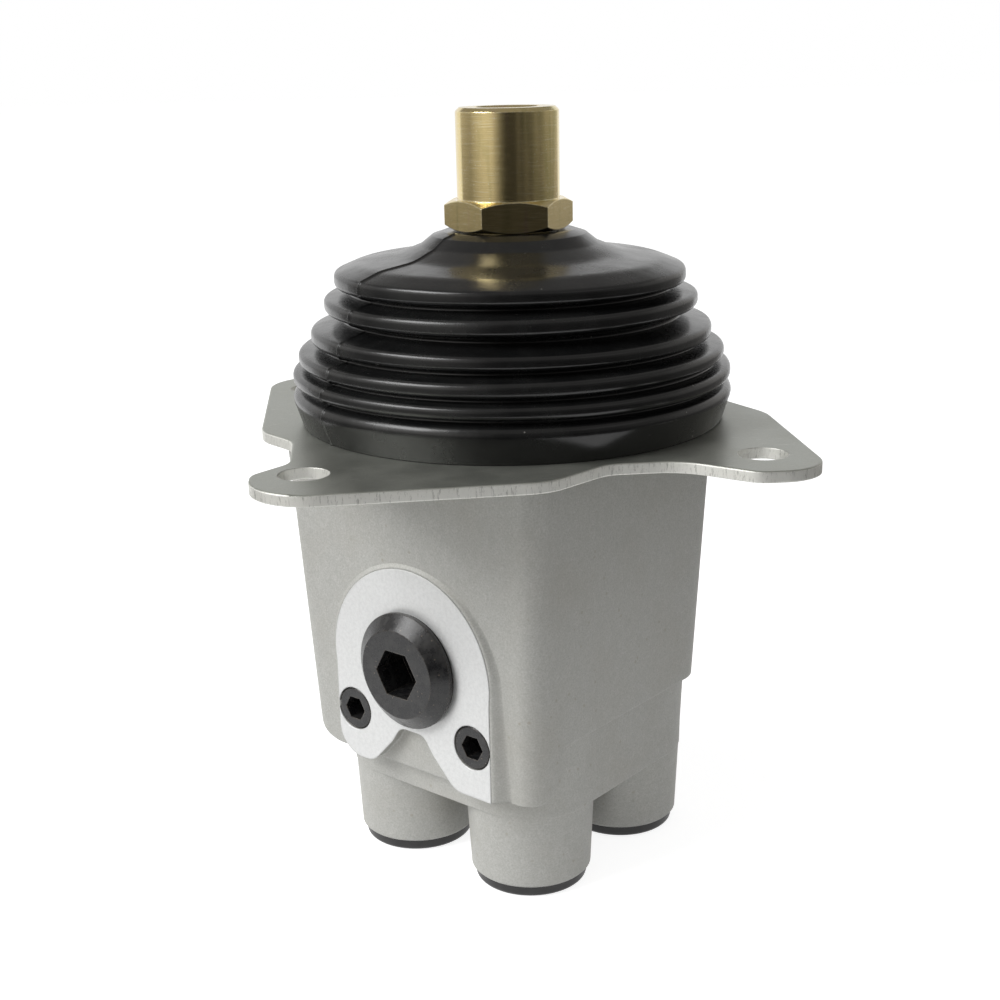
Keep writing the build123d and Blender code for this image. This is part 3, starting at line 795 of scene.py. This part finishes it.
def divided_loop(points: np.ndarray, origin: np.ndarray, longest: float) -> tuple[np.ndarray, np.ndarray]:
    """Closed outline whose long runs get evenly spaced points between their ends.

    Args:
        points: (m, 2) points in order.
        origin: (m,) the corner that each came from, kept for the new ones.
        longest: longest run that is left alone.

    Returns:
        (k, 2) points and (k,) origins.
    """
    ahead = np.roll(points, -1, 0)
    count = np.maximum(1, np.ceil(np.linalg.norm(ahead - points, axis=1) / longest)).astype(int)
    index = np.repeat(np.arange(len(points)), count)
    step = np.arange(count.sum()) - np.repeat(np.cumsum(count) - count, count)
    share = (step / count[index])[:, None]
    return points[index] * (1 - share) + ahead[index] * share, origin[index]


def closed_grid(name: str, points: np.ndarray, capped: bool = False) -> bpy.types.Object:
    """Smooth closed mesh of a grid of points, with its faces outwards.

    Every row closes on itself. The rows close on each other too, or the first and last get a cap. The enclosed
    volume is the sum of a . (b x c) / 6 over the triangles, about the middle of the points; where it comes out
    negative, the faces are turned over.

    Args:
        name: name of the object and its mesh.
        points: (rows, columns, 3) points in mm.
        capped: close the two end rows with caps.

    Returns:
        The object, at the origin, in metres.
    """
    rows, columns = points.shape[:2]
    index = np.arange(rows * columns).reshape(rows, columns)
    right, below = np.roll(index, -1, 1), np.roll(index, -1, 0)
    faces = np.stack([index, right, np.roll(right, -1, 0), below], -1)
    faces = (faces[:-1] if capped else faces).reshape(-1, 4)
    flat = points.reshape(-1, 3) * MM
    a, b, c, d = (flat[faces[:, k]] - flat.mean(0) for k in range(4))
    volume = (a * np.cross(b, c)).sum() + (a * np.cross(c, d)).sum()
    turn = -1 if volume < 0 else 1
    polygons = faces[:, ::turn].tolist()
    if capped:
        polygons += [index[0, ::-turn].tolist(), index[-1, ::turn].tolist()]
    mesh = bpy.data.meshes.new(name)
    mesh.from_pydata(flat.tolist(), [], polygons)
    mesh.polygons.foreach_set("use_smooth", np.ones(len(polygons), bool))
    mesh.update()
    return placed(name, mesh)


def spun(profile: np.ndarray, angles: np.ndarray) -> np.ndarray:
    """Grid of a profile turned about the lever axis: (r cos a, LEVER_Y + r sin a, z).

    Args:
        profile: (rows, columns, 2) radius and height of every point.
        angles: (columns,) angles from +X.

    Returns:
        (rows, columns, 3) points.
    """
    radius, height = profile[..., 0], profile[..., 1]
    return np.stack([radius * np.cos(angles), LEVER_Y + radius * np.sin(angles), height], -1)


# ---- the moulded boot ---------------------------------------------------------------------------------
@dataclass
class Boot:
    """Moulded boot: collar under the hexagon, concave dome, five round-lipped rings, and a skirt on the plate.

    The dome's and the shoulder's points are (radius, height, corner radius), the rings (crest radius, height),
    and lift is (height, share of the lever's motion).
    """

    dome: tuple = ((14.2, 42.7, 0.4), (16.7, 41.9, 0.7), (19.2, 39.9, 3.0), (24.4, 37.8, 14.0), (33.0, 36.6, 10.0))
    rings: tuple = ((37.9, 33.3), (40.4, 28.1), (43.5, 21.5), (46.3, 16.9), (47.7, 12.7))
    half_lip: float = 1.35
    lip_radius: float = 1.2
    fold: float = 4.6
    valley_radius: float = 0.45
    wall: float = 1.7
    shoulder: tuple = (48.4, 9.6, 2.0)
    skirt_radius: float = 46.1
    skirt_top: float = 5.6
    skirt_bottom: float = 2.3
    skirt_wall: float = 5.0
    neck_radius: float = 9.3
    neck_bottom: float = 38.4
    columns: int = 288
    arc_steps: int = 7
    longest_run: float = 1.7
    seam_angle: float = 210.0
    seam_width: float = 0.28
    seam_depth: float = 0.30
    seam_crowding: tuple[float, float] = (14.0, 1.6)
    seam_samples: int = 7201
    seam_wander: tuple = ((0.35, 0.9, 0.0), (0.2, 0.37, 1.0))
    lip_sway: tuple = ((0.072, 3, 0.31), (0.12, 2, 0.55))
    sway_bottom: tuple[float, float] = (6.0, 12.0)
    sway_top: tuple[float, float] = (35.0, 38.0)
    lift: tuple = ((5.6, 0.0), (9.6, 0.03), (12.7, 0.11), (16.9, 0.23), (21.5, 0.37), (28.1, 0.58), (33.3, 0.76),
                   (36.0, 0.87), (38.4, 1.0))

    def outline(self) -> tuple[np.ndarray, np.ndarray]:
        """The closed section, radius and height, outer side first.

        Returns:
            (m, 2) points, and (m,) True on the outer side.
        """
        corners = [list(point) for point in self.dome]
        levels = np.array(self.rings)
        below = np.vstack([levels[1:], self.shoulder[:2]])
        valley_r = np.minimum(levels[:, 0], below[:, 0]) - self.fold
        valley_z = (levels[:, 1] + below[:, 1]) / 2
        for (crest, height), valley in zip(self.rings, zip(valley_r, valley_z)):
            corners.append([crest, height + self.half_lip, self.lip_radius])
            corners.append([crest, height - self.half_lip, self.lip_radius])
            corners.append([*valley, self.valley_radius])
        corners += [list(self.shoulder), [self.skirt_radius, self.skirt_bottom, 0.4]]
        outer_count = len(corners)
        inner_skirt = self.skirt_radius - self.skirt_wall
        corners += [[inner_skirt, self.skirt_bottom, 0.3], [inner_skirt, self.skirt_top, 0.6]]
        corners += [[crest - self.fold - self.wall, height, 1.0] for crest, height in reversed(self.rings)]
        corners += [[self.dome[-1][0] - 3.0, self.dome[-1][1] - self.wall, 2.0],
                    [self.neck_radius + 2 * self.wall - 0.3, self.neck_bottom, 0.6],
                    [self.neck_radius, self.neck_bottom, 0.3], [self.neck_radius, self.dome[0][1], 0.3]]
        table = np.array(corners)
        points, origin = rounded_loop(table[:, :2], table[:, 2], self.arc_steps)
        points, origin = divided_loop(points, origin, self.longest_run)
        return points, origin < outer_count

    def angles(self) -> np.ndarray:
        """Angles of the columns, closer together at the mould seam.

        The columns are even in the running total of a density 1 + c exp(-(d / w)^2), with c and w the seam's
        crowding and d the degrees from the seam.

        Returns:
            (columns,) angles in radians.
        """
        crowding, width = self.seam_crowding
        degrees = np.linspace(0.0, 360.0, self.seam_samples)
        density = 1 + crowding * np.exp(-((degrees - self.seam_angle) / width) ** 2)
        total = np.concatenate([[0.0], np.cumsum((density[1:] + density[:-1]) / 2)])
        wanted = np.linspace(0.0, total[-1], self.columns + 1)[:-1]
        return np.radians(np.interp(wanted, total, degrees))

    def shell(self, section: np.ndarray, outer: np.ndarray) -> np.ndarray:
        """Points of the whole boot.

        The section is turned about the axis. The outer side is drawn in by depth * exp(-(arc / width)^2) where
        arc is the distance along the surface to the seam, which wanders by slow sines of height, and between
        skirt and dome the rings sway by size * sin(waves * angle + phase * height) in radius and in height.

        Args:
            section: (rows, 2) radius and height round the section.
            outer: (rows,) True on the outer side.

        Returns:
            (rows, columns, 3) points in mm.
        """
        angles = self.angles()
        ahead = np.roll(section, -1, 0) - np.roll(section, 1, 0)
        normal = np.stack([-ahead[:, 1], ahead[:, 0]], -1)
        normal /= np.linalg.norm(normal, axis=1, keepdims=True)
        height = section[:, 1:2]
        seam = np.radians(self.seam_angle + sum(size * np.sin(height * rate + start)
                                                for size, rate, start in self.seam_wander))
        arc = (angles[None, :] - seam) * section[:, :1]
        groove = self.seam_depth * np.exp(-(arc / self.seam_width) ** 2) * outer[:, None]
        profile = section[:, None] + normal[:, None] * groove[..., None]
        free = np.interp(height, self.sway_bottom, (0, 1)) * np.interp(height, self.sway_top, (1, 0))
        for column, (size, waves, phase) in enumerate(self.lip_sway):
            profile[..., column] += size * free * np.sin(waves * angles + height * phase)
        return spun(profile, angles)

    def build(self, paint: Paint, lever: bpy.types.Object) -> None:
        """Makes the boot, ties its upper end to the lever, and puts it in place of the CAD solid.

        Each row of points follows the lever by a share that grows with its height, from 0 at the skirt to 1 at
        the collar, so the rings open on one side and close on the other.

        Args:
            paint: the finishes.
            lever: the lever body's empty.
        """
        section, outer = self.outline()
        body = closed_grid("moulded_boot", self.shell(section, outer))
        share = np.interp(section[:, 1], *np.array(self.lift).T)
        group = body.vertex_groups.new(name="follows_lever")
        for row in np.flatnonzero(share > 0):
            group.add(np.arange(row * self.columns, (row + 1) * self.columns).tolist(), float(share[row]), "REPLACE")
        hook = body.modifiers.new("lever_hook", "HOOK")
        hook.object = lever
        hook.vertex_group = group.name
        hook.falloff_type = "NONE"
        hook.matrix_inverse = lever.matrix_world.inverted()
        paint.piece(body, Slot.BOOT)
        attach(body, "housing")
        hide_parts("boot")
        log.info("moulded_boot: %d rows of %d points", len(section), self.columns)


# ---- the adapter's thread -----------------------------------------------------------------------------
@dataclass
class SocketThread:
    """Thread cut in the adapter's socket."""

    outer: float = 6.22
    depth: float = 0.75
    pitch: float = 1.5
    top: float = 67.6
    length: float = 13.5
    wall: float = 0.06
    flank: float = 1.6
    crest: float = 0.9
    columns: int = 64
    rows: int = 145
    outer_rows: int = 4

    def build(self, paint: Paint) -> None:
        """Makes the thread as a thin tube whose inner side is a helix.

        The inner radius at height z and angle a is outer - wall - depth * tooth(z / pitch - a / 2 pi), with
        tooth a triangle wave with cut crests, faded to 0 over the first and last turn.

        Args:
            paint: the finishes.
        """
        angles = np.linspace(0, 2 * np.pi, self.columns, endpoint=False)
        height = np.linspace(self.top - self.length, self.top, self.rows)[:, None]
        phase = (height / self.pitch - angles[None, :] / (2 * np.pi)) % 1.0
        tooth = np.clip(self.flank * (1 - 2 * np.abs(phase - 0.5)), 0, 1) * self.crest
        fade = np.clip((self.top - height) / self.pitch, 0, 1) * np.clip((height - height[0]) / self.pitch, 0, 1)
        inner = self.outer - self.wall - self.depth * tooth * fade
        inside = np.stack([inner, np.broadcast_to(height, inner.shape)], -1)
        wall = np.linspace(self.top, self.top - self.length, self.outer_rows)[:, None]
        outer = np.broadcast_to(self.outer, (self.outer_rows, self.columns))
        outside = np.stack([outer, np.broadcast_to(wall, outer.shape)], -1)
        thread = closed_grid("socket_thread", spun(np.concatenate([inside, outside]), angles))
        paint.piece(thread, Slot.CHROMATE)
        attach(thread, "lever")
        log.info("socket_thread: pitch %.2f mm", self.pitch)


# ---- the cast shoulder round the port face ------------------------------------------------------------
@dataclass
class PortFaceShoulder:
    """Cast shoulder that runs from the edge of the milled port face down to the casting's side."""

    half_width: float = 22.03
    round_radius: float = 22.23
    port_height: float = -47.0
    left_end: float = -65.0
    right_end: float = -71.97
    face_distance: float = 36.4
    side_distance: float = 36.8
    draft: float = 0.045
    lip: float = 0.10
    overlap: float = 0.05
    spread: float = 1.1
    least_width: float = 0.5
    buried: float = 0.9
    end_length: float = 4.0
    arc_points: int = 72
    side_points: tuple[int, int] = (28, 34)
    section_points: int = 13
    under_step: int = 6

    def path(self) -> tuple[np.ndarray, np.ndarray]:
        """Edge of the face: up its left side, round the top, down its right side.

        Returns:
            (m, 2) points across and up the face, and (m, 2) unit directions away from it.
        """
        rise = np.arcsin(np.clip(self.half_width / self.round_radius, -1, 1))
        angle = np.linspace(-rise, rise, self.arc_points)
        arc = np.c_[np.sin(angle), np.cos(angle)] * self.round_radius + [0.0, self.port_height]
        left = np.linspace(self.left_end, arc[0, 1], self.side_points[0])[:-1]
        right = np.linspace(arc[-1, 1], self.right_end, self.side_points[1])[1:]
        points = np.vstack([np.c_[np.full(len(left), -self.half_width), left], arc,
                            np.c_[np.full(len(right), self.half_width), right]])
        away = np.vstack([np.tile([-1.0, 0.0], (len(left), 1)), np.c_[np.sin(angle), np.cos(angle)],
                          np.tile([1.0, 0.0], (len(right), 1))])
        return points, away

    def build(self, paint: Paint) -> None:
        """Makes the shoulder.

        At height z the casting's side lies drop = face - side - draft z below the face. The section runs
        outwards by w s with w = spread drop + least_width, and down from the lip to the drop by
        (1 - cos(pi s)) / 2; its underside is buried. Its left end sinks into the casting over end_length, and
        its right end is flush with the boss's underside.

        Args:
            paint: the finishes.
        """
        edge, away = self.path()
        drop = (self.face_distance - self.side_distance - self.draft * edge[:, 1])[:, None]
        share = np.linspace(0, 1, self.section_points)[None, :]
        out = (self.spread * drop + self.least_width) * share
        down = self.lip + (drop - self.lip + self.overlap) * (1 - np.cos(np.pi * share)) / 2
        length = np.r_[0.0, np.cumsum(np.linalg.norm(np.diff(edge, axis=0), axis=1))][:, None]
        sink = 1 - np.clip(length / self.end_length, 0, 1)
        under = out[:, ::-self.under_step]
        out = np.hstack([out, under])
        down = np.hstack([down + sink * drop, np.broadcast_to(drop + self.buried, under.shape) + sink])
        across = edge[:, :1] + away[:, :1] * out
        height = edge[:, 1:] + away[:, 1:] * out
        distance = self.face_distance - down
        grid = np.stack([DIAGONAL * (across - distance), LEVER_Y - DIAGONAL * (across + distance), height], -1)
        shoulder = closed_grid("port_face_shoulder", grid, capped=True)
        paint.piece(shoulder, Slot.CASTING)
        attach(shoulder, "housing")
        log.info("port_face_shoulder: %d stations", len(edge))


# ---- springs ------------------------------------------------------------------------------------------
@dataclass
class CoilSpring:
    """Compression spring with closed end coils."""

    kind: str
    mean_radius: float
    wire_radius: float
    turns: float
    foot_share: float
    foot_clearance: float = 0.08
    closing: float = 0.45
    points_per_turn: int = 26
    wire_sides: int = 10

    def build(self, leg: str, paint: Paint) -> None:
        """Makes the spring of one leg in place of its CAD solid.

        The wire's middle runs along (R cos a, R sin a, z), with z rising as t - closing sin(2 pi t) / 2 pi of
        its length, so the end coils lie closer. Round it goes a circle of the wire's radius.

        Args:
            leg: which leg it stands in.
            paint: the finishes.
        """
        node = f"{leg}_{self.kind}"
        low, high = (np.array(corner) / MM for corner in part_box(node))
        middle = (low + high)[:2] / 2
        wire, span = self.wire_radius, high[2] - low[2] - 2 * self.wire_radius - self.foot_clearance
        share = np.linspace(0, 1, int(self.turns * self.points_per_turn))
        angle = 2 * np.pi * self.turns * share
        eased = share - self.closing * np.sin(2 * np.pi * share) / (2 * np.pi)
        out = np.stack([np.cos(angle), np.sin(angle), np.zeros_like(angle)], -1)
        line = out * self.mean_radius + np.array([*middle, low[2] + wire + self.foot_clearance])
        line[:, 2] += eased * span
        side = np.linspace(0, 2 * np.pi, self.wire_sides, endpoint=False)[None, :, None]
        ring = np.cos(side) * out[:, None] + np.sin(side) * [0, 0, 1]
        spring = closed_grid(f"{leg}_wound_{self.kind}", line[:, None] + wire * ring, capped=True)
        paint.piece(spring, Slot.SPRING)
        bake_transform(spring)
        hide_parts(node)


SPRINGS = (CoilSpring("return_spring", 5.9, 0.65, 7.0, 0.0), CoilSpring("balance_spring", 4.0, 0.4, 4.0, 0.329))


# ---- dressing of the CAD sub-assemblies ---------------------------------------------------------------
@dataclass
class Assembly:
    """A group of CAD nodes that are dressed together."""

    name: str
    nodes: tuple[str, ...]

    def dress(self, frame: dict, paint: Paint) -> None:
        """Gives each node the finish of its slot in the record.

        Args:
            paint: the finishes.
        """
        slots = {part["node"]: part["material_slot"] for part in frame["record"]["subparts"]}
        for node in self.nodes:
            paint.node(node, frame["nodes"][node], slots[node])
        log.info("%s: %d nodes", self.name, len(self.nodes))


class Housing(Assembly):
    """Casting, plate, screws, plugs and caps."""

    def __init__(self) -> None:
        """Names the nodes of the fixed body."""
        super().__init__("housing", ("casting_body", "mounting_plate", "plate_screws", "joint_base",
                                     "front_port_plug", "port_plug_seal", "left_gallery_plug",
                                     "right_gallery_plug", "supply_port_cap", "return_port_cap", "boot"))


class UniversalJoint(Assembly):
    """Cross, pins, yoke, swash plate, lock nut and handle adapter."""

    def __init__(self) -> None:
        """Names the nodes of the cross and the lever."""
        super().__init__("universal_joint", ("lower_pivot_pins", "cross_block", "upper_pivot_pins", "upper_yoke",
                                             "swash_plate", "lock_nut", "handle_adapter"))


class Cartridge(Assembly):
    """Bushing, seals, pusher, springs, spool and cap of one leg."""

    def __init__(self, leg: str) -> None:
        """Names the nodes in one leg."""
        parts = ("bushing", "bushing_ring", "pusher_seal", "pusher", "spring_seat", "return_spring",
                 "balance_spring", "spool", "port_cap")
        super().__init__(f"{leg}_cartridge", tuple(f"{leg}_{part}" for part in parts))


# ---- studio -------------------------------------------------------------------------------------------
@dataclass
class Studio:
    """White room: pale floor, a soft lamp from the left, a weak one from the right, a graded screen, a ceiling.

    The screen's section points are (distance, height), and its levels are (angle in degrees, glow).
    """

    floor_z: float = -97.75
    floor_half: float = 6000.0
    floor_colour: Colour = (0.60, 0.60, 0.60)
    floor_glow: float = 0.85
    sky_level: float = 0.26
    key_place: Triple = (-1090.0, -300.0, 900.0)
    key_size: float = 900.0
    key_watts: float = 21.0
    fill_place: Triple = (900.0, -700.0, 500.0)
    fill_size: float = 900.0
    fill_watts: float = 0.6
    screen_section: tuple = ((240.0, -97.0), (1100.0, -97.0), (1100.0, 130.0), (1100.0, 700.0))
    screen_dimming: tuple = (0.35, 0.35, 1.0, 1.0)
    screen_levels: tuple = ((-130.0, 0.75), (-96.0, 0.50), (-76.0, 0.90), (-58.0, 1.15), (-40.0, 1.05), (-31.0, 0.60),
                            (-20.0, 0.22), (-10.0, 0.07), (12.0, 0.07), (17.0, 0.17), (25.0, 0.10), (36.0, 0.20),
                            (46.0, 0.14), (60.0, 0.32), (72.0, 0.26), (88.0, 0.50), (112.0, 0.60), (140.0, 0.90))
    screen_columns: int = 136
    ceiling_height: float = 1250.0
    ceiling_radius: float = 2600.0
    ceiling_level: float = 0.30
    ceiling_columns: int = 49
    reflector_colour: Colour = (1.0, 0.97, 0.93)

    def room(self) -> None:
        """World that is white to the camera and in reflections, and dimmer as light on the object."""
        world = bpy.data.worlds.new("studio")
        bpy.context.scene.world = world
        tree = Tree(world)
        seen = tree.rays("Camera", "Glossy", "Transmission")
        background = tree.node("ShaderNodeBackground")
        tree.feed(background.inputs["Color"], (*WHITE, 1.0))
        tree.feed(background.inputs["Strength"], tree.span(seen, 0.0, 1.0, self.sky_level, 1.0))
        tree.show("ShaderNodeOutputWorld", background.outputs[0])

    def floor(self) -> None:
        """Pale floor that shows the object's shadow and otherwise reads white."""
        tree = Tree(bpy.data.materials.new("studio_floor"))
        matt = tree.node("ShaderNodeBsdfDiffuse")
        tree.feed(matt.inputs["Color"], (*self.floor_colour, 1.0))
        glow = tree.node("ShaderNodeEmission")
        tree.feed(glow.inputs["Strength"], tree.math("MULTIPLY", tree.rays("Camera", "Glossy"), self.floor_glow))
        both = tree.node("ShaderNodeAddShader")
        tree.feed(both.inputs[0], matt.outputs[0])
        tree.feed(both.inputs[1], glow.outputs[0])
        tree.show("ShaderNodeOutputMaterial", both.outputs[0])
        half, low = self.floor_half * MM, self.floor_z * MM
        corners = [(x * half, y * half, low) for x, y in ((-1, -1), (1, -1), (1, 1), (-1, 1))]
        mesh = bpy.data.meshes.new("studio_floor")
        mesh.from_pydata(corners, [], [(0, 1, 2, 3)])
        mesh.materials.append(tree.owner)
        placed("studio_floor", mesh)

    def lamp(self, name: str, place: Triple, size: float, watts: float) -> None:
        """Square area lamp that faces the middle of the valve.

        Args:
            name: the lamp's name.
            place: where it stands, in mm.
            size: its side, in mm.
            watts: its power.
        """
        data = bpy.data.lights.new(name, "AREA")
        data.size = size * MM
        data.energy = watts
        lamp = placed(name, data)
        lamp.location = Vector(place) * MM
        lamp.rotation_mode = "QUATERNION"
        lamp.rotation_quaternion = (-lamp.location).to_track_quat("-Z", "Y")

    def reflector(self, name: str, points: np.ndarray, level: np.ndarray) -> None:
        """Glowing sheet that only reflections see.

        Args:
            name: its name.
            points: (rows, columns, 3) points in mm.
            level: (rows, columns) glow at each point.
        """
        index = np.arange(level.size).reshape(level.shape)
        faces = np.stack([index[:-1, :-1], index[:-1, 1:], index[1:, 1:], index[1:, :-1]], -1).reshape(-1, 4)
        mesh = bpy.data.meshes.new(name)
        mesh.from_pydata((points.reshape(-1, 3) * MM).tolist(), [], faces.tolist())
        glow_map = mesh.attributes.new("glow", "FLOAT", "POINT")
        glow_map.data.foreach_set("value", level.ravel().astype(np.float32))
        tree = Tree(bpy.data.materials.new(name))
        glow = tree.node("ShaderNodeEmission")
        tree.feed(glow.inputs["Color"], (*self.reflector_colour, 1.0))
        tree.feed(glow.inputs["Strength"], tree.node("ShaderNodeAttribute", attribute_name="glow").outputs["Fac"])
        tree.show("ShaderNodeOutputMaterial", glow.outputs[0])
        mesh.materials.append(tree.owner)
        sheet = placed(name, mesh)
        for ray in ("camera", "diffuse", "shadow", "transmission"):
            setattr(sheet, f"visible_{ray}", False)

    def screen(self) -> None:
        """Graded screen round the front.

        Its section, distance and height, is carried round Z: (d sin a, -d cos a, z). The glow is a function of
        the angle a, dimmed where the screen lies on the floor.
        """
        section, table = np.array(self.screen_section), np.array(self.screen_levels)
        degrees = np.linspace(table[0, 0], table[-1, 0], self.screen_columns)
        angle = np.radians(degrees)
        shape = (len(section), len(angle))
        distance, height = (np.broadcast_to(column[:, None], shape) for column in section.T)
        points = np.stack([distance * np.sin(angle), -distance * np.cos(angle), height], -1)
        level = np.array(self.screen_dimming)[:, None] * np.interp(degrees, table[:, 0], table[:, 1])
        self.reflector("studio_screen", points, level)

    def ceiling(self) -> None:
        """Dim round ceiling: (r cos a, r sin a, height)."""
        around = np.linspace(0, 2 * np.pi, self.ceiling_columns)
        radius, angle = np.meshgrid([1.0, self.ceiling_radius], around, indexing="ij")
        points = np.stack([radius * np.cos(angle), radius * np.sin(angle),
                           np.full(radius.shape, self.ceiling_height)], -1)
        self.reflector("studio_ceiling", points, np.full(radius.shape, self.ceiling_level))

    def build(self) -> None:
        """Puts the room, floor, lamps, screen and ceiling in place."""
        self.room()
        self.floor()
        self.lamp("key", self.key_place, self.key_size, self.key_watts)
        self.lamp("fill", self.fill_place, self.fill_size, self.fill_watts)
        self.screen()
        self.ceiling()
        log.info("studio: floor at %.2f mm", self.floor_z)


@dataclass
class Camera:
    """Camera in front of the valve, a little to its left and above the plate; angles are in degrees."""

    place: Triple = (-33.4, -329.5, 80.0)
    heading: float = 5.16
    down: float = 16.24
    roll: float = 1.21
    lens: float = 55.8
    sensor: float = 36.0
    near: float = 10.0

    def build(self) -> None:
        """Places the camera.

        Its view direction is (sin h cos d, cos h cos d, -sin d) for heading h and dip d, and its right and up
        axes are turned about that direction by the roll.
        """
        heading, down, roll = np.radians([self.heading, self.down, self.roll])
        ahead = Vector((np.sin(heading) * np.cos(down), np.cos(heading) * np.cos(down), -np.sin(down)))
        level = Vector((np.cos(heading), -np.sin(heading), 0.0))
        right = level * float(np.cos(roll)) - level.cross(ahead) * float(np.sin(roll))
        up = right.cross(ahead)
        turn = Matrix((right, up, -ahead)).transposed()
        data = bpy.data.cameras.new("camera")
        data.lens = self.lens
        data.sensor_width = self.sensor
        data.clip_start = self.near * MM
        camera = placed("camera", data)
        camera.matrix_world = Matrix.Translation(Vector(self.place) * MM) @ turn.to_4x4()
        bpy.context.scene.camera = camera
        log.info("camera: lens %.1f mm", self.lens)


def main() -> None:
    """Loads the frame, dresses it piece by piece, and sets up the studio."""
    logging.basicConfig(level=logging.INFO, format="%(name)s: %(message)s")
    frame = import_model()
    bpy.context.scene.view_settings.view_transform = "Standard"
    paint = Paint()
    for assembly in (Housing(), UniversalJoint(), *(Cartridge(leg) for leg in LEGS)):
        assembly.dress(frame, paint)
    Boot().build(paint, frame["bodies"]["lever"])
    SocketThread().build(paint)
    PortFaceShoulder().build(paint)
    for spring in SPRINGS:
        for leg in LEGS:
            spring.build(leg, paint)
        log.info("%s: one in each of %d legs", spring.kind, len(LEGS))
    Studio().build()
    Camera().build()


if __name__ == "__main__":
    main()
